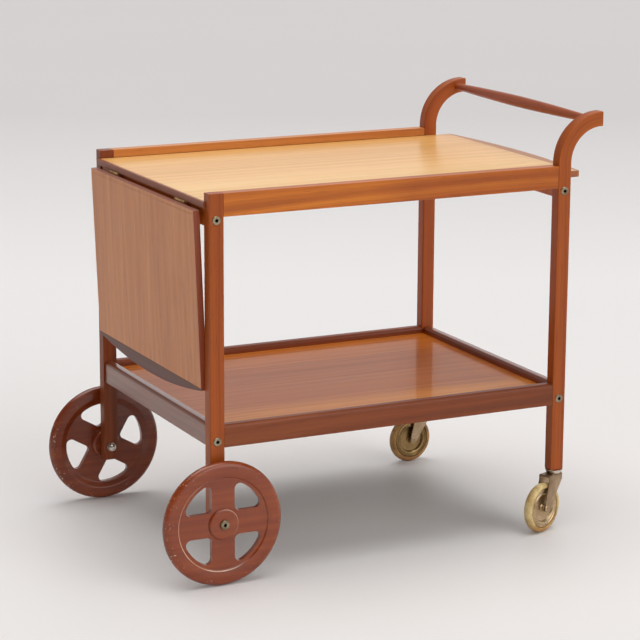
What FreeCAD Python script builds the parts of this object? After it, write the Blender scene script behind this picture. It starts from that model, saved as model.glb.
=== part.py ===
import FreeCAD, Part
import math
import os
import Sketcher

# A tea trolley: two side frames joined by bolted cross rails, a top that runs in grooves and carries a
# drop leaf, a lower shelf, two large wooden wheels and two swivel casters under the handle end.
# +X points to the handle, +Y away from the near side, +Z up; the floor is z = 0.

doc = FreeCAD.newDocument("tea_trolley")
dims = doc.addObject("Spreadsheet::Sheet", "dims")

SIZES = (
    # side frames
    ("frame_length", 680.0, "over the legs, along X"),
    ("frame_width", 503.0, "over the legs, along Y"),
    ("left_face", -324.5, "X of the left legs' end faces"),
    ("leg_wide", 25.5, "leg section along X"),
    ("leg_deep", 21.5, "leg and rail section along Y"),
    ("foot_below_axle", 24.0, "left legs below the large wheels' axles"),
    ("foot_above_tyre", 20.0, "handle legs above the caster tyres"),
    ("foot_chamfer", 2.0, "chamfer round the feet"),
    ("top_height", 653.0, "top of the side frames"),
    ("top_rail_tall", 38.5, "height of the upper side rails"),
    ("shelf_rail_low", 229.0, "underside of the lower rails"),
    ("shelf_rail_tall", 38.0, "height of the lower rails"),
    ("rail_round", 6.0, "rounding on the lower rails' tops"),
    ("cross_thick", 19.5, "thickness of the cross rails"),
    ("cross_inset", 3.0, "cross rails set back from the leg faces"),
    ("top_cross_tall", 30.7, "height of the upper cross rails"),
    # handle
    ("arm_radius", 86.0, "outer radius of the handle arms"),
    ("arm_rise", 4.0, "arms' centre of curvature above the side rails"),
    ("arm_past", 1.75, "arm ends beyond the centre of curvature"),
    ("bar_back", 16.5, "handle bar short of the centre of curvature"),
    ("bar_middle_radius", 10.3, "handle bar at its middle"),
    ("bar_shoulder_radius", 9.0, "handle bar where the taper starts"),
    ("bar_end_radius", 6.0, "handle bar at the arms"),
    ("bar_belly", 200.0, "length of the bar's curved middle"),
    ("tenon_radius", 4.0, "handle bar tenons"),
    ("tenon_long", 12.0, "handle bar tenons"),
    # sliding top
    ("board_thick", 11.0, "top and leaf"),
    ("board_drop", 14.0, "top's surface below the side rails' tops"),
    ("board_proud", 4.0, "top beyond the left legs"),
    ("board_past", 29.5, "top's corners beyond the handle legs"),
    ("board_bow", 18.0, "rise of the curved end"),
    ("lipping_least", 3.5, "curved lipping at its corners"),
    ("end_lipping", 5.0, "straight lipping at the leaf end"),
    ("groove_deep", 7.5, "groove for the runner strips"),
    ("groove_play", 0.2, "play above and below the runners"),
    ("side_play", 0.5, "play beside the top"),
    ("slide_gap", 0.3, "between the top and the cross rails"),
    ("top_travel", 150.0, "full travel of the top towards the handle"),
    ("stop_long", 16.0, "stop block along X"),
    ("stop_wide", 80.0, "stop block along Y"),
    ("stop_tall", 13.0, "stop block"),
    # drop leaf
    ("leaf_above_rail", 56.5, "hanging leaf's free corners above the lower rails"),
    ("leaf_play", 1.0, "leaf clear of the legs on each side"),
    ("leaf_bow", 21.0, "rise of the leaf's free edge"),
    ("leaf_lipping", 7.0, "lipping along the hinge edge"),
    ("leaf_degrees", 2.33, "angle that the hanging leaf leans in"),
    # hinges
    ("hinge_out", 2.3, "hinge axis beyond the top's end"),
    ("hinge_drop", 1.0, "hinge axis below the top's underside"),
    ("hinge_gap", 2.5, "hinge axis to the leaf's edge"),
    ("hinge_spread", 296.0, "between the hinges' middles"),
    ("hinge_long", 40.0, "length of a hinge"),
    ("knuckle_long", 14.0, "middle knuckle"),
    ("knuckle_radius", 2.2, "hinge knuckles"),
    ("knuckle_play", 0.2, "between knuckles"),
    ("plate_thick", 1.2, "hinge plates"),
    ("plate_wide", 20.0, "hinge plates from the axis"),
    ("pin_radius", 1.1, "hinge pins"),
    ("notch_play", 3.0, "cross rail notch beyond a hinge, each side"),
    ("notch_deep", 5.0, "cross rail notch under a hinge"),
    ("screw_radius", 1.4, "screw shanks"),
    ("screw_head", 2.6, "screw heads"),
    ("screw_long", 8.5, "hinge screws"),
    ("screw_back", 13.0, "hinge screws from the hinge axis"),
    ("screw_spread", 13.0, "between hinge screws"),
    # shelf
    ("shelf_thick", 9.0, "shelf panel"),
    ("shelf_drop", 12.0, "shelf surface below the lower rails' tops"),
    ("tongue_deep", 6.0, "shelf tongue in the rails"),
    ("tongue_thick", 5.0, "shelf tongue"),
    ("panel_play", 0.2, "play round the shelf and its tongue"),
    # bolts, nuts and dowels
    ("bolt_radius", 3.0, "frame bolts"),
    ("bolt_head_radius", 7.5, "frame bolt heads"),
    ("bolt_head_thick", 2.6, "frame bolt heads"),
    ("head_proud", 1.4, "bolt heads above the leg faces"),
    ("head_chamfer", 0.9, "chamfer round the bolt heads"),
    ("socket_radius", 2.9, "hexagon sockets, across corners / 2"),
    ("nut_radius", 5.0, "barrel nuts"),
    ("nut_long", 14.0, "barrel nuts"),
    ("nut_depth", 20.0, "barrel nuts from the rail ends"),
    ("bolt_past_nut", 7.0, "bolts beyond the nuts' middles"),
    ("top_bolt_drop", 43.5, "upper frame bolts below the side rails' tops"),
    ("shelf_bolt_rise", 11.0, "lower frame bolts above the rails' undersides"),
    ("dowel_radius", 3.0, "dowels"),
    ("dowel_in_leg", 8.0, "dowel in the leg"),
    ("dowel_in_rail", 18.0, "dowel in the rail"),
    ("dowel_edge", 6.8, "dowels from a rail's top and bottom"),
    ("dowel_setback", 9.0, "side rail dowels from the outer face"),
    ("cross_dowel_above", 10.5, "cross rail dowels above the bolts"),
    ("fit_gap", 0.05, "round a glued, threaded or turning pin"),
    ("hole_gap", 0.15, "round a bolt in its hole"),
    # large wheels
    ("wheel_radius", 106.0, "large wheels"),
    ("wheel_thick", 18.0, "wheel rim"),
    ("wheel_gap", 9.0, "between rim and leg"),
    ("web_thick", 9.0, "recessed web"),
    ("rim_wide", 25.5, "rim, from tread to recess"),
    ("rim_round", 8.0, "rounding of the tread's edges"),
    ("hub_radius", 26.7, "raised hub"),
    ("edge_round", 2.0, "rounding of the hub's edges and the recess's"),
    ("spoke_wide", 41.0, "spokes between the holes"),
    ("hole_reach", 74.0, "holes' outer radius"),
    ("hole_corner", 9.0, "holes' corner radius"),
    ("near_wheel_degrees", 0.0, "angle that the near wheel stands at"),
    ("far_wheel_degrees", 60.0, "angle that the far wheel stands at"),
    ("axle_radius", 4.0, "axle bolts"),
    ("axle_head_radius", 8.0, "axle bolt heads"),
    ("axle_head_thick", 3.6, "axle bolt heads"),
    ("sleeve_radius", 6.0, "sleeves that the wheels turn on"),
    ("wheel_play", 0.3, "end play of the wheels"),
    ("washer_radius", 10.5, "washers behind the hubs"),
    ("nut_washer_radius", 8.0, "washers under the dome nuts"),
    ("washer_thick", 1.2, "washers"),
    ("dome_corner_radius", 8.2, "dome nuts, across corners / 2"),
    ("dome_hex_tall", 4.5, "dome nuts' hexagon"),
    ("dome_radius", 7.0, "dome nuts' cap"),
    # casters
    ("caster_radius", 44.5, "caster tyres"),
    ("caster_trail", 32.0, "caster axle behind the stem"),
    ("near_caster_degrees", 21.0, "angle that the near caster trails at"),
    ("far_caster_degrees", 5.5, "angle that the far caster trails at"),
    ("tyre_wide", 16.0, "caster tyres"),
    ("tyre_crown", 5.0, "rise of the tread"),
    ("disc_radius", 35.0, "steel wheel discs"),
    ("disc_wide", 14.0, "disc's rim"),
    ("dish_radius", 24.0, "disc's dish"),
    ("dish_thick", 8.0, "disc at its dish"),
    ("dish_slope", 3.0, "between dish and rim"),
    ("disc_lip", 1.6, "disc's turned edge"),
    ("disc_hub_radius", 6.5, "disc's hub"),
    ("disc_hub_long", 18.0, "disc's hub"),
    ("caster_axle_radius", 3.0, "caster axles"),
    ("rivet_radius", 5.0, "caster axle ends"),
    ("rivet_thick", 1.5, "caster axle ends"),
    ("fork_inside", 20.0, "between the fork's cheeks"),
    ("cheek_thick", 2.0, "fork cheeks"),
    ("fork_front", 10.0, "fork ahead of the stem"),
    ("fork_back", 26.0, "fork behind the stem"),
    ("fork_end_radius", 7.0, "fork round the axle"),
    ("fork_shoulder", 11.0, "height of the fork's shoulders"),
    ("skirt_gap", 1.5, "fork's back skirt above the tyre"),
    ("crown_thick", 2.5, "fork's crown plate"),
    ("crown_gap", 6.5, "between crown and leg foot"),
    ("cap_radius", 15.0, "caps under the handle legs"),
    ("cap_wall", 1.8, "caps"),
    ("cap_tall", 6.0, "caps"),
    ("stem_radius", 4.0, "caster stems"),
    ("stem_long", 40.0, "caster sockets in the legs"),
    ("stem_head_radius", 6.5, "stems' riveted heads"),
    ("stem_head_thick", 2.4, "stems' riveted heads"),
    ("socket_wall", 1.5, "caster sockets"),
    ("race_radius", 10.5, "swivel race rings"),
    ("race_gap", 0.3, "above the race rings"),
)


class Size:
    # A length that keeps its value together with the sheet formula that it comes from.
    def __init__(self, text, value):
        self.text = text
        self.value = value

    def join(self, sign, other, value):
        return Size("(%s %s %s)" % (self.text, sign, as_size(other).text), value)

    def __add__(self, other):
        return self.join("+", other, self.value + as_size(other).value)

    def __sub__(self, other):
        return self.join("-", other, self.value - as_size(other).value)

    def __mul__(self, other):
        return self.join("*", other, self.value * as_size(other).value)

    def __truediv__(self, other):
        return self.join("/", other, self.value / as_size(other).value)

    def __neg__(self):
        return Size("(-%s)" % self.text, -self.value)


def as_size(thing):
    return thing if isinstance(thing, Size) else Size(repr(float(thing)), float(thing))


def root(thing):
    return Size("sqrt(%s)" % thing.text, math.sqrt(thing.value))


def arc_radius(half_chord, rise):
    # radius of the arc that rises by rise over a chord of two half_chords
    return (half_chord * half_chord + rise * rise) / (rise * 2)


class Sheet:
    pass


s = Sheet()
for row, (alias, number, note) in enumerate(SIZES, 1):
    dims.set("A%d" % row, alias)
    dims.set("B%d" % row, repr(number))
    dims.set("C%d" % row, note)
    dims.setAlias("B%d" % row, alias)
    setattr(s, alias, Size("dims." + alias, number))
doc.recompute()

ZERO = as_size(0)
parts = []

# places that several pieces share
half_width = s.frame_width / 2
inner_face = half_width - s.leg_deep
right_face = s.left_face + s.frame_length
left_leg_inner = s.left_face + s.leg_wide
handle_leg_face = right_face - s.leg_wide
left_leg_middle = s.left_face + s.leg_wide / 2
handle_leg_middle = right_face - s.leg_wide / 2
leg_middle_y = half_width - s.leg_deep / 2
board_top = s.top_height - s.board_drop
board_low = board_top - s.board_thick
board_end = s.left_face - s.board_proud
board_half = inner_face - s.side_play
board_corner = right_face + s.board_past
runner_half = inner_face + s.groove_deep - s.side_play
runner_end = handle_leg_face - s.top_travel
cross_top = board_low - s.slide_gap
top_cross_low = cross_top - s.top_cross_tall
top_bolt_height = s.top_height - s.top_bolt_drop
shelf_bolt_height = s.shelf_rail_low + s.shelf_bolt_rise
shelf_rail_top = s.shelf_rail_low + s.shelf_rail_tall
shelf_top = shelf_rail_top - s.shelf_drop
left_cross_face = s.left_face + s.cross_inset
handle_cross_face = right_face - s.cross_inset - s.cross_thick
arm_centre_x = handle_leg_face + s.arm_radius
arm_centre_z = s.top_height + s.arm_rise
hinge_x = board_end - s.hinge_out
hinge_z = board_low - s.hinge_drop
axle_height = s.wheel_radius
left_foot = axle_height - s.foot_below_axle
tyre_top = s.caster_radius * 2
handle_foot = tyre_top + s.foot_above_tyre
SIDES = (("near", -1), ("far", 1))


def bind(thing, prop, size):
    size = as_size(size)
    thing.setExpression(prop, size.text)


def place(thing, x=ZERO, y=ZERO, z=ZERO, axis=None, angle=None):
    # puts a piece at x, y, z; axis and angle turn it, angle in degrees
    if axis is not None:
        turn = as_size(angle)
        thing.Placement = FreeCAD.Placement(FreeCAD.Vector(), FreeCAD.Rotation(axis, turn.value))
        if turn.value:
            thing.setExpression("Placement.Rotation.Angle", turn.text)
    bind(thing, "Placement.Base.x", x)
    bind(thing, "Placement.Base.y", y)
    bind(thing, "Placement.Base.z", z)
    return thing


X_AXIS = FreeCAD.Vector(1, 0, 0)
Y_AXIS = FreeCAD.Vector(0, 1, 0)
Z_AXIS = FreeCAD.Vector(0, 0, 1)


def add(kind, name):
    return doc.addObject(kind, name)


def box(name, low_x, low_y, low_z, long_x, long_y, long_z):
    block = add("Part::Box", name)
    bind(block, "Length", long_x)
    bind(block, "Width", long_y)
    bind(block, "Height", long_z)
    return place(block, low_x, low_y, low_z)


def span(name, low, high):
    # box between two opposite corners
    sides = [as_size(b) - a for a, b in zip(low, high)]
    return box(name, low[0], low[1], low[2], sides[0], sides[1], sides[2])


# turns that point a piece's own Z axis along each of these
TURNS = {
    "+X": (Y_AXIS, 90),
    "-X": (Y_AXIS, -90),
    "+Y": (X_AXIS, -90),
    "-Y": (X_AXIS, 90),
    "+Z": (Z_AXIS, 0),
}


def aim(piece, along, x, y, z):
    axis, angle = TURNS[along]
    return place(piece, x, y, z, axis=axis, angle=angle)


def rod(name, along, x, y, z, radius, length):
    # cylinder that starts at x, y, z
    cylinder = add("Part::Cylinder", name)
    bind(cylinder, "Radius", radius)
    bind(cylinder, "Height", length)
    return aim(cylinder, along, x, y, z)


def cone(name, along, x, y, z, start_radius, end_radius, length):
    taper = add("Part::Cone", name)
    bind(taper, "Radius1", start_radius)
    bind(taper, "Radius2", end_radius)
    bind(taper, "Height", length)
    return aim(taper, along, x, y, z)


def hexagon(name, along, x, y, z, corner_radius, length):
    prism = add("Part::Prism", name)
    prism.Polygon = 6
    bind(prism, "Circumradius", corner_radius)
    bind(prism, "Height", length)
    return aim(prism, along, x, y, z)


def fuse(name, pieces):
    joined = add("Part::MultiFuse", name)
    joined.Shapes = pieces
    joined.Refine = True
    return joined


def cut(name, base, cutters):
    # base less every cutter; cutters that lie apart stay one tool
    result = add("Part::Cut", name)
    result.Base = base
    result.Tool = cutters[0] if len(cutters) == 1 else fuse(name + "_cutters", cutters)
    return result


def group(name, pieces):
    together = add("Part::Compound", name)
    together.Links = pieces
    return together


def part(name, thing):
    # a finished sub-part, in the file that its label names
    thing.Label = name
    parts.append((name, thing))
    return thing


def new_body(name):
    return add("PartDesign::Body", name)


def plane(body, role):
    return next(f for f in body.Origin.OriginFeatures if f.Role == role)


def arc_centre(start, end, radius, left):
    # centre of the minor arc from start to end, on the left or right of that way
    middle = ((start[0] + end[0]) / 2, (start[1] + end[1]) / 2)
    chord = math.hypot(end[0] - start[0], end[1] - start[1])
    rise = math.sqrt(max(radius * radius - chord * chord / 4, 0.0))
    side = 1 if left else -1
    across = (-(end[1] - start[1]) / chord * side, (end[0] - start[0]) / chord * side)
    return middle[0] + across[0] * rise, middle[1] + across[1] * rise


def outline(body, role, corners, lift=None, name="outline"):
    # Closed sketch through the corners. A corner is (x, y), reached by a line, or
    # (x, y, radius, "left" or "right"), reached by an arc with its centre on that side.
    sketch = body.newObject("Sketcher::SketchObject", name)
    sketch.AttachmentSupport = [(plane(body, role), "")]
    sketch.MapMode = "FlatFace"
    if lift is not None:
        bind(sketch, "AttachmentOffset.Base.z", lift)
    sketch.MakeInternals = False
    ends = []
    count = len(corners)
    spots = [(as_size(c[0]), as_size(c[1])) for c in corners]
    for i in range(count):
        start = tuple(v.value for v in spots[i])
        end = tuple(v.value for v in spots[(i + 1) % count])
        target = corners[(i + 1) % count]
        if len(target) == 2:
            sketch.addGeometry(Part.LineSegment(FreeCAD.Vector(*start), FreeCAD.Vector(*end)), False)
            ends.append((1, 2))
            continue
        radius = as_size(target[2]).value
        left = target[3] == "left"
        middle = arc_centre(start, end, radius, left)
        first, last = (start, end) if left else (end, start)
        angles = [math.atan2(p[1] - middle[1], p[0] - middle[0]) for p in (first, last)]
        if angles[1] < angles[0]:
            angles[1] += 2 * math.pi
        circle = Part.Circle(FreeCAD.Vector(middle[0], middle[1], 0), Z_AXIS, radius)
        sketch.addGeometry(Part.ArcOfCircle(circle, angles[0], angles[1]), False)
        ends.append((1, 2) if left else (2, 1))
    for i in range(count):
        after = (i + 1) % count
        sketch.addConstraint(Sketcher.Constraint("Coincident", i, ends[i][1], after, ends[after][0]))
    for i in range(count):
        for kind, spot in zip(("DistanceX", "DistanceY"), spots[i]):
            made = sketch.addConstraint(Sketcher.Constraint(kind, -1, 1, i, ends[i][0], spot.value))
            sketch.setExpression("Constraints[%d]" % made, spot.text)
        target = corners[(i + 1) % count]
        if len(target) == 4:
            radius = as_size(target[2])
            made = sketch.addConstraint(Sketcher.Constraint("Radius", i, radius.value))
            sketch.setExpression("Constraints[%d]" % made, radius.text)
    return sketch


def pad(body, sketch, length, name="pad", midplane=False):
    feature = body.newObject("PartDesign::Pad", name)
    feature.Profile = sketch
    feature.Midplane = midplane
    bind(feature, "Length", length)
    sketch.Visibility = False
    return feature


def revolve(body, sketch, axis="V_Axis"):
    feature = body.newObject("PartDesign::Revolution", "turned")
    feature.Profile = sketch
    feature.ReferenceAxis = (sketch, [axis])
    feature.Angle = 360
    sketch.Visibility = False
    return feature


def turned(name, corners, role="XY_Plane"):
    # body turned round its own Y axis (Z axis on XZ_Plane); corners are (radius, place along the axis)
    body = new_body(name)
    revolve(body, outline(body, role, corners))
    return body


# ---- side frames -------------------------------------------------------------------------------

def y_span(side, outer, inner):
    # low and high Y of something between two distances from the middle, on one side
    return (-outer, -inner) if side < 0 else (inner, outer)


def bolt_holes(name, side, x, z):
    # counterbore and through hole for a frame bolt in a leg
    outward = "+Y" if side < 0 else "-Y"
    face = half_width * side
    deep = s.bolt_head_thick - s.head_proud
    sink = rod(name + "_sink", outward, x, face, z, s.bolt_head_radius + s.hole_gap, deep)
    hole = rod(name + "_hole", outward, x, face, z, s.bolt_radius + s.hole_gap, s.leg_deep)
    return [sink, hole]


def cross_dowel_hole(name, side, x, z):
    # blind hole in a leg's inner face for a cross rail's dowel
    outward = "-Y" if side < 0 else "+Y"
    radius = s.dowel_radius + s.fit_gap
    return rod(name, outward, x, inner_face * side, z, radius, s.dowel_in_leg + s.fit_gap)


def side_dowel_heights():
    top_low = s.top_height - s.top_rail_tall
    low = [top_low + s.dowel_edge, s.top_height - s.dowel_edge]
    return low + [s.shelf_rail_low + s.dowel_edge, shelf_rail_top - s.dowel_edge - s.rail_round]


def side_dowel_holes(name, side, face, into_leg):
    # blind holes in a leg's rail side; into_leg is the way that they run, -1 or 1 along X
    length = s.dowel_in_leg + s.fit_gap
    low = face - length if into_leg < 0 else face
    y = (half_width - s.dowel_setback) * side
    radius = s.dowel_radius + s.fit_gap
    heights = side_dowel_heights()
    return [rod("%s_%d" % (name, i), "+X", low, y, z, radius, length) for i, z in enumerate(heights)]


cross_bolts = (("top", top_bolt_height), ("shelf", shelf_bolt_height))


def leg_cutters(name, side, x, rail_face, into_leg):
    cutters = side_dowel_holes(name + "_dowels", side, rail_face, into_leg)
    for level, z in cross_bolts:
        cutters += bolt_holes("%s_%s_bolt" % (name, level), side, x, z)
        cutters.append(cross_dowel_hole("%s_%s_dowel" % (name, level), side, x, z + s.cross_dowel_above))
    return cutters


def left_leg(word, side):
    name = word + "_left_leg"
    low_y, high_y = y_span(side, half_width, inner_face)
    blank = span(name + "_blank", (s.left_face, low_y, left_foot), (left_leg_inner, high_y, s.top_height))
    cutters = leg_cutters(name, side, left_leg_middle, left_leg_inner, -1)
    outward = "+Y" if side < 0 else "-Y"
    axle_hole = s.axle_radius + s.hole_gap
    cutters.append(rod(name + "_axle", outward, left_leg_middle, half_width * side, axle_height, axle_hole, s.leg_deep))
    slot_low, slot_high = y_span(side, inner_face + s.groove_deep, inner_face)
    slot = span(
        name + "_slot",
        (s.left_face, slot_low, board_low - s.groove_play),
        (left_leg_inner, slot_high, board_top + s.groove_play),
    )
    return part(name, cut(name, blank, cutters + [slot]))


def handle_leg(word, side):
    # leg and arm in one piece: straight up to the arm's centre height, then a quarter turn outwards
    name = word + "_handle_leg"
    inner_radius = s.arm_radius - s.leg_wide
    arm_end = arm_centre_x + s.arm_past
    c = s.foot_chamfer
    body = new_body(name + "_blank")
    corners = [
        (handle_leg_face + c, handle_foot),
        (right_face - c, handle_foot),
        (right_face, handle_foot + c),
        (right_face, arm_centre_z),
        (arm_centre_x, arm_centre_z + inner_radius, inner_radius, "right"),
        (arm_end, arm_centre_z + inner_radius),
        (arm_end, arm_centre_z + s.arm_radius),
        (arm_centre_x, arm_centre_z + s.arm_radius),
        (handle_leg_face, arm_centre_z, s.arm_radius, "left"),
        (handle_leg_face, handle_foot + c),
    ]
    lift = inner_face if side < 0 else -half_width
    pad(body, outline(body, "XZ_Plane", corners, lift), s.leg_deep)
    cutters = leg_cutters(name, side, handle_leg_middle, handle_leg_face, 1)
    outward = "-Y" if side < 0 else "+Y"
    tenon_hole = s.tenon_radius + s.fit_gap
    cutters.append(rod(name + "_tenon", outward, bar_x, inner_face * side, bar_z, tenon_hole, s.tenon_long + s.fit_gap))
    socket_hole = s.stem_radius + s.fit_gap + s.socket_wall + s.fit_gap
    cutters.append(rod(name + "_socket", "+Z", handle_leg_middle, leg_middle_y * side, handle_foot, socket_hole, s.stem_long))
    return part(name, cut(name, body, cutters))


def rail_dowel_holes(name, side, heights):
    # blind holes in both ends of a side rail
    y = (half_width - s.dowel_setback) * side
    length = s.dowel_in_rail + s.fit_gap
    radius = s.dowel_radius + s.fit_gap
    holes = []
    for i, z in enumerate(heights):
        holes.append(rod("%s_left_%d" % (name, i), "+X", left_leg_inner, y, z, radius, length))
        holes.append(rod("%s_right_%d" % (name, i), "+X", handle_leg_face - length, y, z, radius, length))
    return holes


def top_rail(word, side):
    name = word + "_top_rail"
    low_y, high_y = y_span(side, half_width, inner_face)
    low_z = s.top_height - s.top_rail_tall
    blank = span(name + "_blank", (left_leg_inner, low_y, low_z), (handle_leg_face, high_y, s.top_height))
    slot_low, slot_high = y_span(side, inner_face + s.groove_deep, inner_face)
    groove = span(
        name + "_groove",
        (left_leg_inner, slot_low, board_low - s.groove_play),
        (handle_leg_face, slot_high, board_top + s.groove_play),
    )
    return part(name, cut(name, blank, rail_dowel_holes(name, side, side_dowel_heights()[:2]) + [groove]))


def rounded_bar_section(low_a, high_a, low_z, high_z, radius):
    # section with both top edges rounded over
    return [
        (low_a, low_z),
        (high_a, low_z),
        (high_a, high_z - radius),
        (high_a - radius, high_z, radius, "left"),
        (low_a + radius, high_z),
        (low_a, high_z - radius, radius, "left"),
    ]


tongue_low = shelf_top - s.shelf_thick


def shelf_rail(word, side):
    name = word + "_shelf_rail"
    low_y, high_y = y_span(side, half_width, inner_face)
    body = new_body(name + "_blank")
    section = rounded_bar_section(low_y, high_y, s.shelf_rail_low, shelf_rail_top, s.rail_round)
    pad(body, outline(body, "YZ_Plane", section, left_leg_inner), s.frame_length - s.leg_wide * 2)
    slot_low, slot_high = y_span(side, inner_face + s.tongue_deep, inner_face)
    groove = span(
        name + "_groove",
        (left_leg_inner, slot_low, tongue_low - s.panel_play),
        (handle_leg_face, slot_high, tongue_low + s.tongue_thick + s.panel_play),
    )
    return part(name, cut(name, body, rail_dowel_holes(name, side, side_dowel_heights()[2:]) + [groove]))


def cross_rail_holes(name, x, z, inward):
    # at both ends: bolt hole, dowel hole, and the barrel nut's hole from the rail's inner face
    holes = []
    bolt_deep = s.nut_depth + s.bolt_past_nut + s.fit_gap
    nut_hole = s.nut_radius + s.hole_gap
    nut_deep = s.cross_thick / 2 + s.nut_long / 2 + s.fit_gap
    for word, side in SIDES:
        toward = "+Y" if side < 0 else "-Y"
        end = inner_face * side
        holes.append(rod(name + word + "_bolt", toward, x, end, z, s.bolt_radius + s.hole_gap, bolt_deep))
        radius = s.dowel_radius + s.fit_gap
        up = z + s.cross_dowel_above
        holes.append(rod(name + word + "_dowel", toward, x, end, up, radius, s.dowel_in_rail + s.fit_gap))
        low_x = x - s.nut_long / 2 - s.fit_gap if inward > 0 else x - s.cross_thick / 2
        nut_y = (inner_face - s.nut_depth) * side
        holes.append(rod(name + word + "_nut", "+X", low_x, nut_y, z, nut_hole, nut_deep))
    return holes


def top_cross_rail(name, face, inward):
    blank = span(name + "_blank", (face, -inner_face, top_cross_low), (face + s.cross_thick, inner_face, cross_top))
    cutters = cross_rail_holes(name, face + s.cross_thick / 2, top_bolt_height, inward)
    if inward > 0:
        # notches that let the hinges pass over the rail with the top
        half = s.hinge_long / 2 + s.notch_play
        for word, side in SIDES:
            middle = s.hinge_spread / 2 * side
            low = (face, middle - half, cross_top - s.notch_deep)
            cutters.append(span(name + word + "_notch", low, (face + s.cross_thick, middle + half, cross_top)))
    return part(name, cut(name, blank, cutters))


def shelf_cross_rail(name, face, inward):
    body = new_body(name + "_blank")
    # the XZ plane's normal is -Y
    section = rounded_bar_section(face, face + s.cross_thick, s.shelf_rail_low, shelf_rail_top, s.rail_round)
    pad(body, outline(body, "XZ_Plane", section), inner_face * 2, midplane=True)
    cutters = cross_rail_holes(name, face + s.cross_thick / 2, shelf_bolt_height, inward)
    inner = face + s.cross_thick if inward > 0 else face
    low_x = inner - s.tongue_deep if inward > 0 else inner
    groove = span(
        name + "_groove",
        (low_x, -inner_face, tongue_low - s.panel_play),
        (low_x + s.tongue_deep, inner_face, tongue_low + s.tongue_thick + s.panel_play),
    )
    return part(name, cut(name, body, cutters + [groove]))


def shelf_panel():
    # veneered panel whose rebated edges sit in the four lower rails
    low_x = left_cross_face + s.cross_thick
    high_x = handle_cross_face
    play = s.panel_play
    field = span(
        "shelf_field",
        (low_x + play, -inner_face + play, tongue_low),
        (high_x - play, inner_face - play, shelf_top),
    )
    reach = s.tongue_deep - play
    tongue = span(
        "shelf_tongue",
        (low_x - reach, -inner_face - reach, tongue_low),
        (high_x + reach, inner_face + reach, tongue_low + s.tongue_thick),
    )
    corners = []
    for word, side in SIDES:
        low_y, high_y = y_span(side, half_width, inner_face - play)
        for end, low, high in (("left", s.left_face, left_leg_inner + play), ("right", handle_leg_face - play, right_face)):
            corners.append(span("shelf_corner_%s_%s" % (word, end), (low, low_y, tongue_low), (high, high_y, shelf_top)))
    return part("shelf_panel", cut("shelf_panel", fuse("shelf_blank", [field, tongue]), corners))


arm_middle_radius = s.arm_radius - s.leg_wide / 2
bar_x = arm_centre_x - s.bar_back
bar_z = arm_centre_z + root(arm_middle_radius * arm_middle_radius - s.bar_back * s.bar_back)


def handle_bar():
    # spindle with a soft belly, tapering to a tenon at each end
    end = inner_face
    tip = inner_face + s.tenon_long
    belly = s.bar_belly / 2
    curve = arc_radius(belly, s.bar_middle_radius - s.bar_shoulder_radius)
    corners = [
        (ZERO, -tip),
        (s.tenon_radius, -tip),
        (s.tenon_radius, -end),
        (s.bar_end_radius, -end),
        (s.bar_shoulder_radius, -belly),
        (s.bar_shoulder_radius, belly, curve, "left"),
        (s.bar_end_radius, end),
        (s.tenon_radius, end),
        (s.tenon_radius, tip),
        (ZERO, tip),
    ]
    return part("handle_bar", place(turned("handle_bar", corners), bar_x, ZERO, bar_z))


for word, side in SIDES:
    left_leg(word, side)
    handle_leg(word, side)
    top_rail(word, side)
    shelf_rail(word, side)
top_cross_rail("left_top_cross_rail", left_cross_face, 1)
top_cross_rail("handle_top_cross_rail", handle_cross_face, -1)
shelf_cross_rail("left_shelf_cross_rail", left_cross_face, 1)
shelf_cross_rail("handle_shelf_cross_rail", handle_cross_face, -1)
shelf_panel()
handle_bar()


# ---- frame fasteners ---------------------------------------------------------------------------

def frame_bolt(name, side, x, z):
    toward = "+Y" if side < 0 else "-Y"
    top = (half_width + s.head_proud) * side
    under = (half_width + s.head_proud - s.head_chamfer) * side
    shank_long = s.leg_deep + s.head_proud + s.nut_depth + s.bolt_past_nut
    small = s.bolt_head_radius - s.head_chamfer
    crown = cone(name + "_crown", toward, x, top, z, small, s.bolt_head_radius, s.head_chamfer)
    rest = s.bolt_head_thick - s.head_chamfer
    head = rod(name + "_head", toward, x, under, z, s.bolt_head_radius, rest)
    shank = rod(name + "_shank", toward, x, top, z, s.bolt_radius, shank_long)
    socket = hexagon(name + "_socket", toward, x, top, z, s.socket_radius, s.bolt_head_thick)
    return cut(name, fuse(name + "_blank", [crown, head, shank]), [socket])


def barrel_nut(name, side, x, z):
    y = (inner_face - s.nut_depth) * side
    blank = rod(name + "_blank", "+X", x - s.nut_long / 2, y, z, s.nut_radius, s.nut_long)
    reach = s.nut_radius + s.fit_gap
    bore = rod(name + "_bore", "+Y", x, y - reach, z, s.bolt_radius + s.fit_gap, reach * 2)
    return cut(name, blank, [bore])


bolts = []
nuts = []
cross_dowels = []
side_dowels = []
for word, side in SIDES:
    for end, x in (("left", left_leg_middle), ("handle", handle_leg_middle)):
        cross_x = left_cross_face if end == "left" else handle_cross_face
        for level, z in cross_bolts:
            name = "%s_%s_%s" % (word, end, level)
            bolts.append(frame_bolt(name + "_bolt", side, x, z))
            nuts.append(barrel_nut(name + "_nut", side, x, z))
            start = (inner_face + s.dowel_in_leg) * side
            toward = "+Y" if side < 0 else "-Y"
            long = s.dowel_in_leg + s.dowel_in_rail
            cross_dowels.append(
                rod(name + "_dowel", toward, x, start, z + s.cross_dowel_above, s.dowel_radius, long)
            )
    y = (half_width - s.dowel_setback) * side
    for i, z in enumerate(side_dowel_heights()):
        long = s.dowel_in_leg + s.dowel_in_rail
        left_start = left_leg_inner - s.dowel_in_leg
        right_start = handle_leg_face - s.dowel_in_rail
        side_dowels.append(rod("%s_left_dowel_%d" % (word, i), "+X", left_start, y, z, s.dowel_radius, long))
        side_dowels.append(rod("%s_handle_dowel_%d" % (word, i), "+X", right_start, y, z, s.dowel_radius, long))
part("frame_bolts", group("frame_bolts", bolts))
part("barrel_nuts", group("barrel_nuts", nuts))
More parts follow.
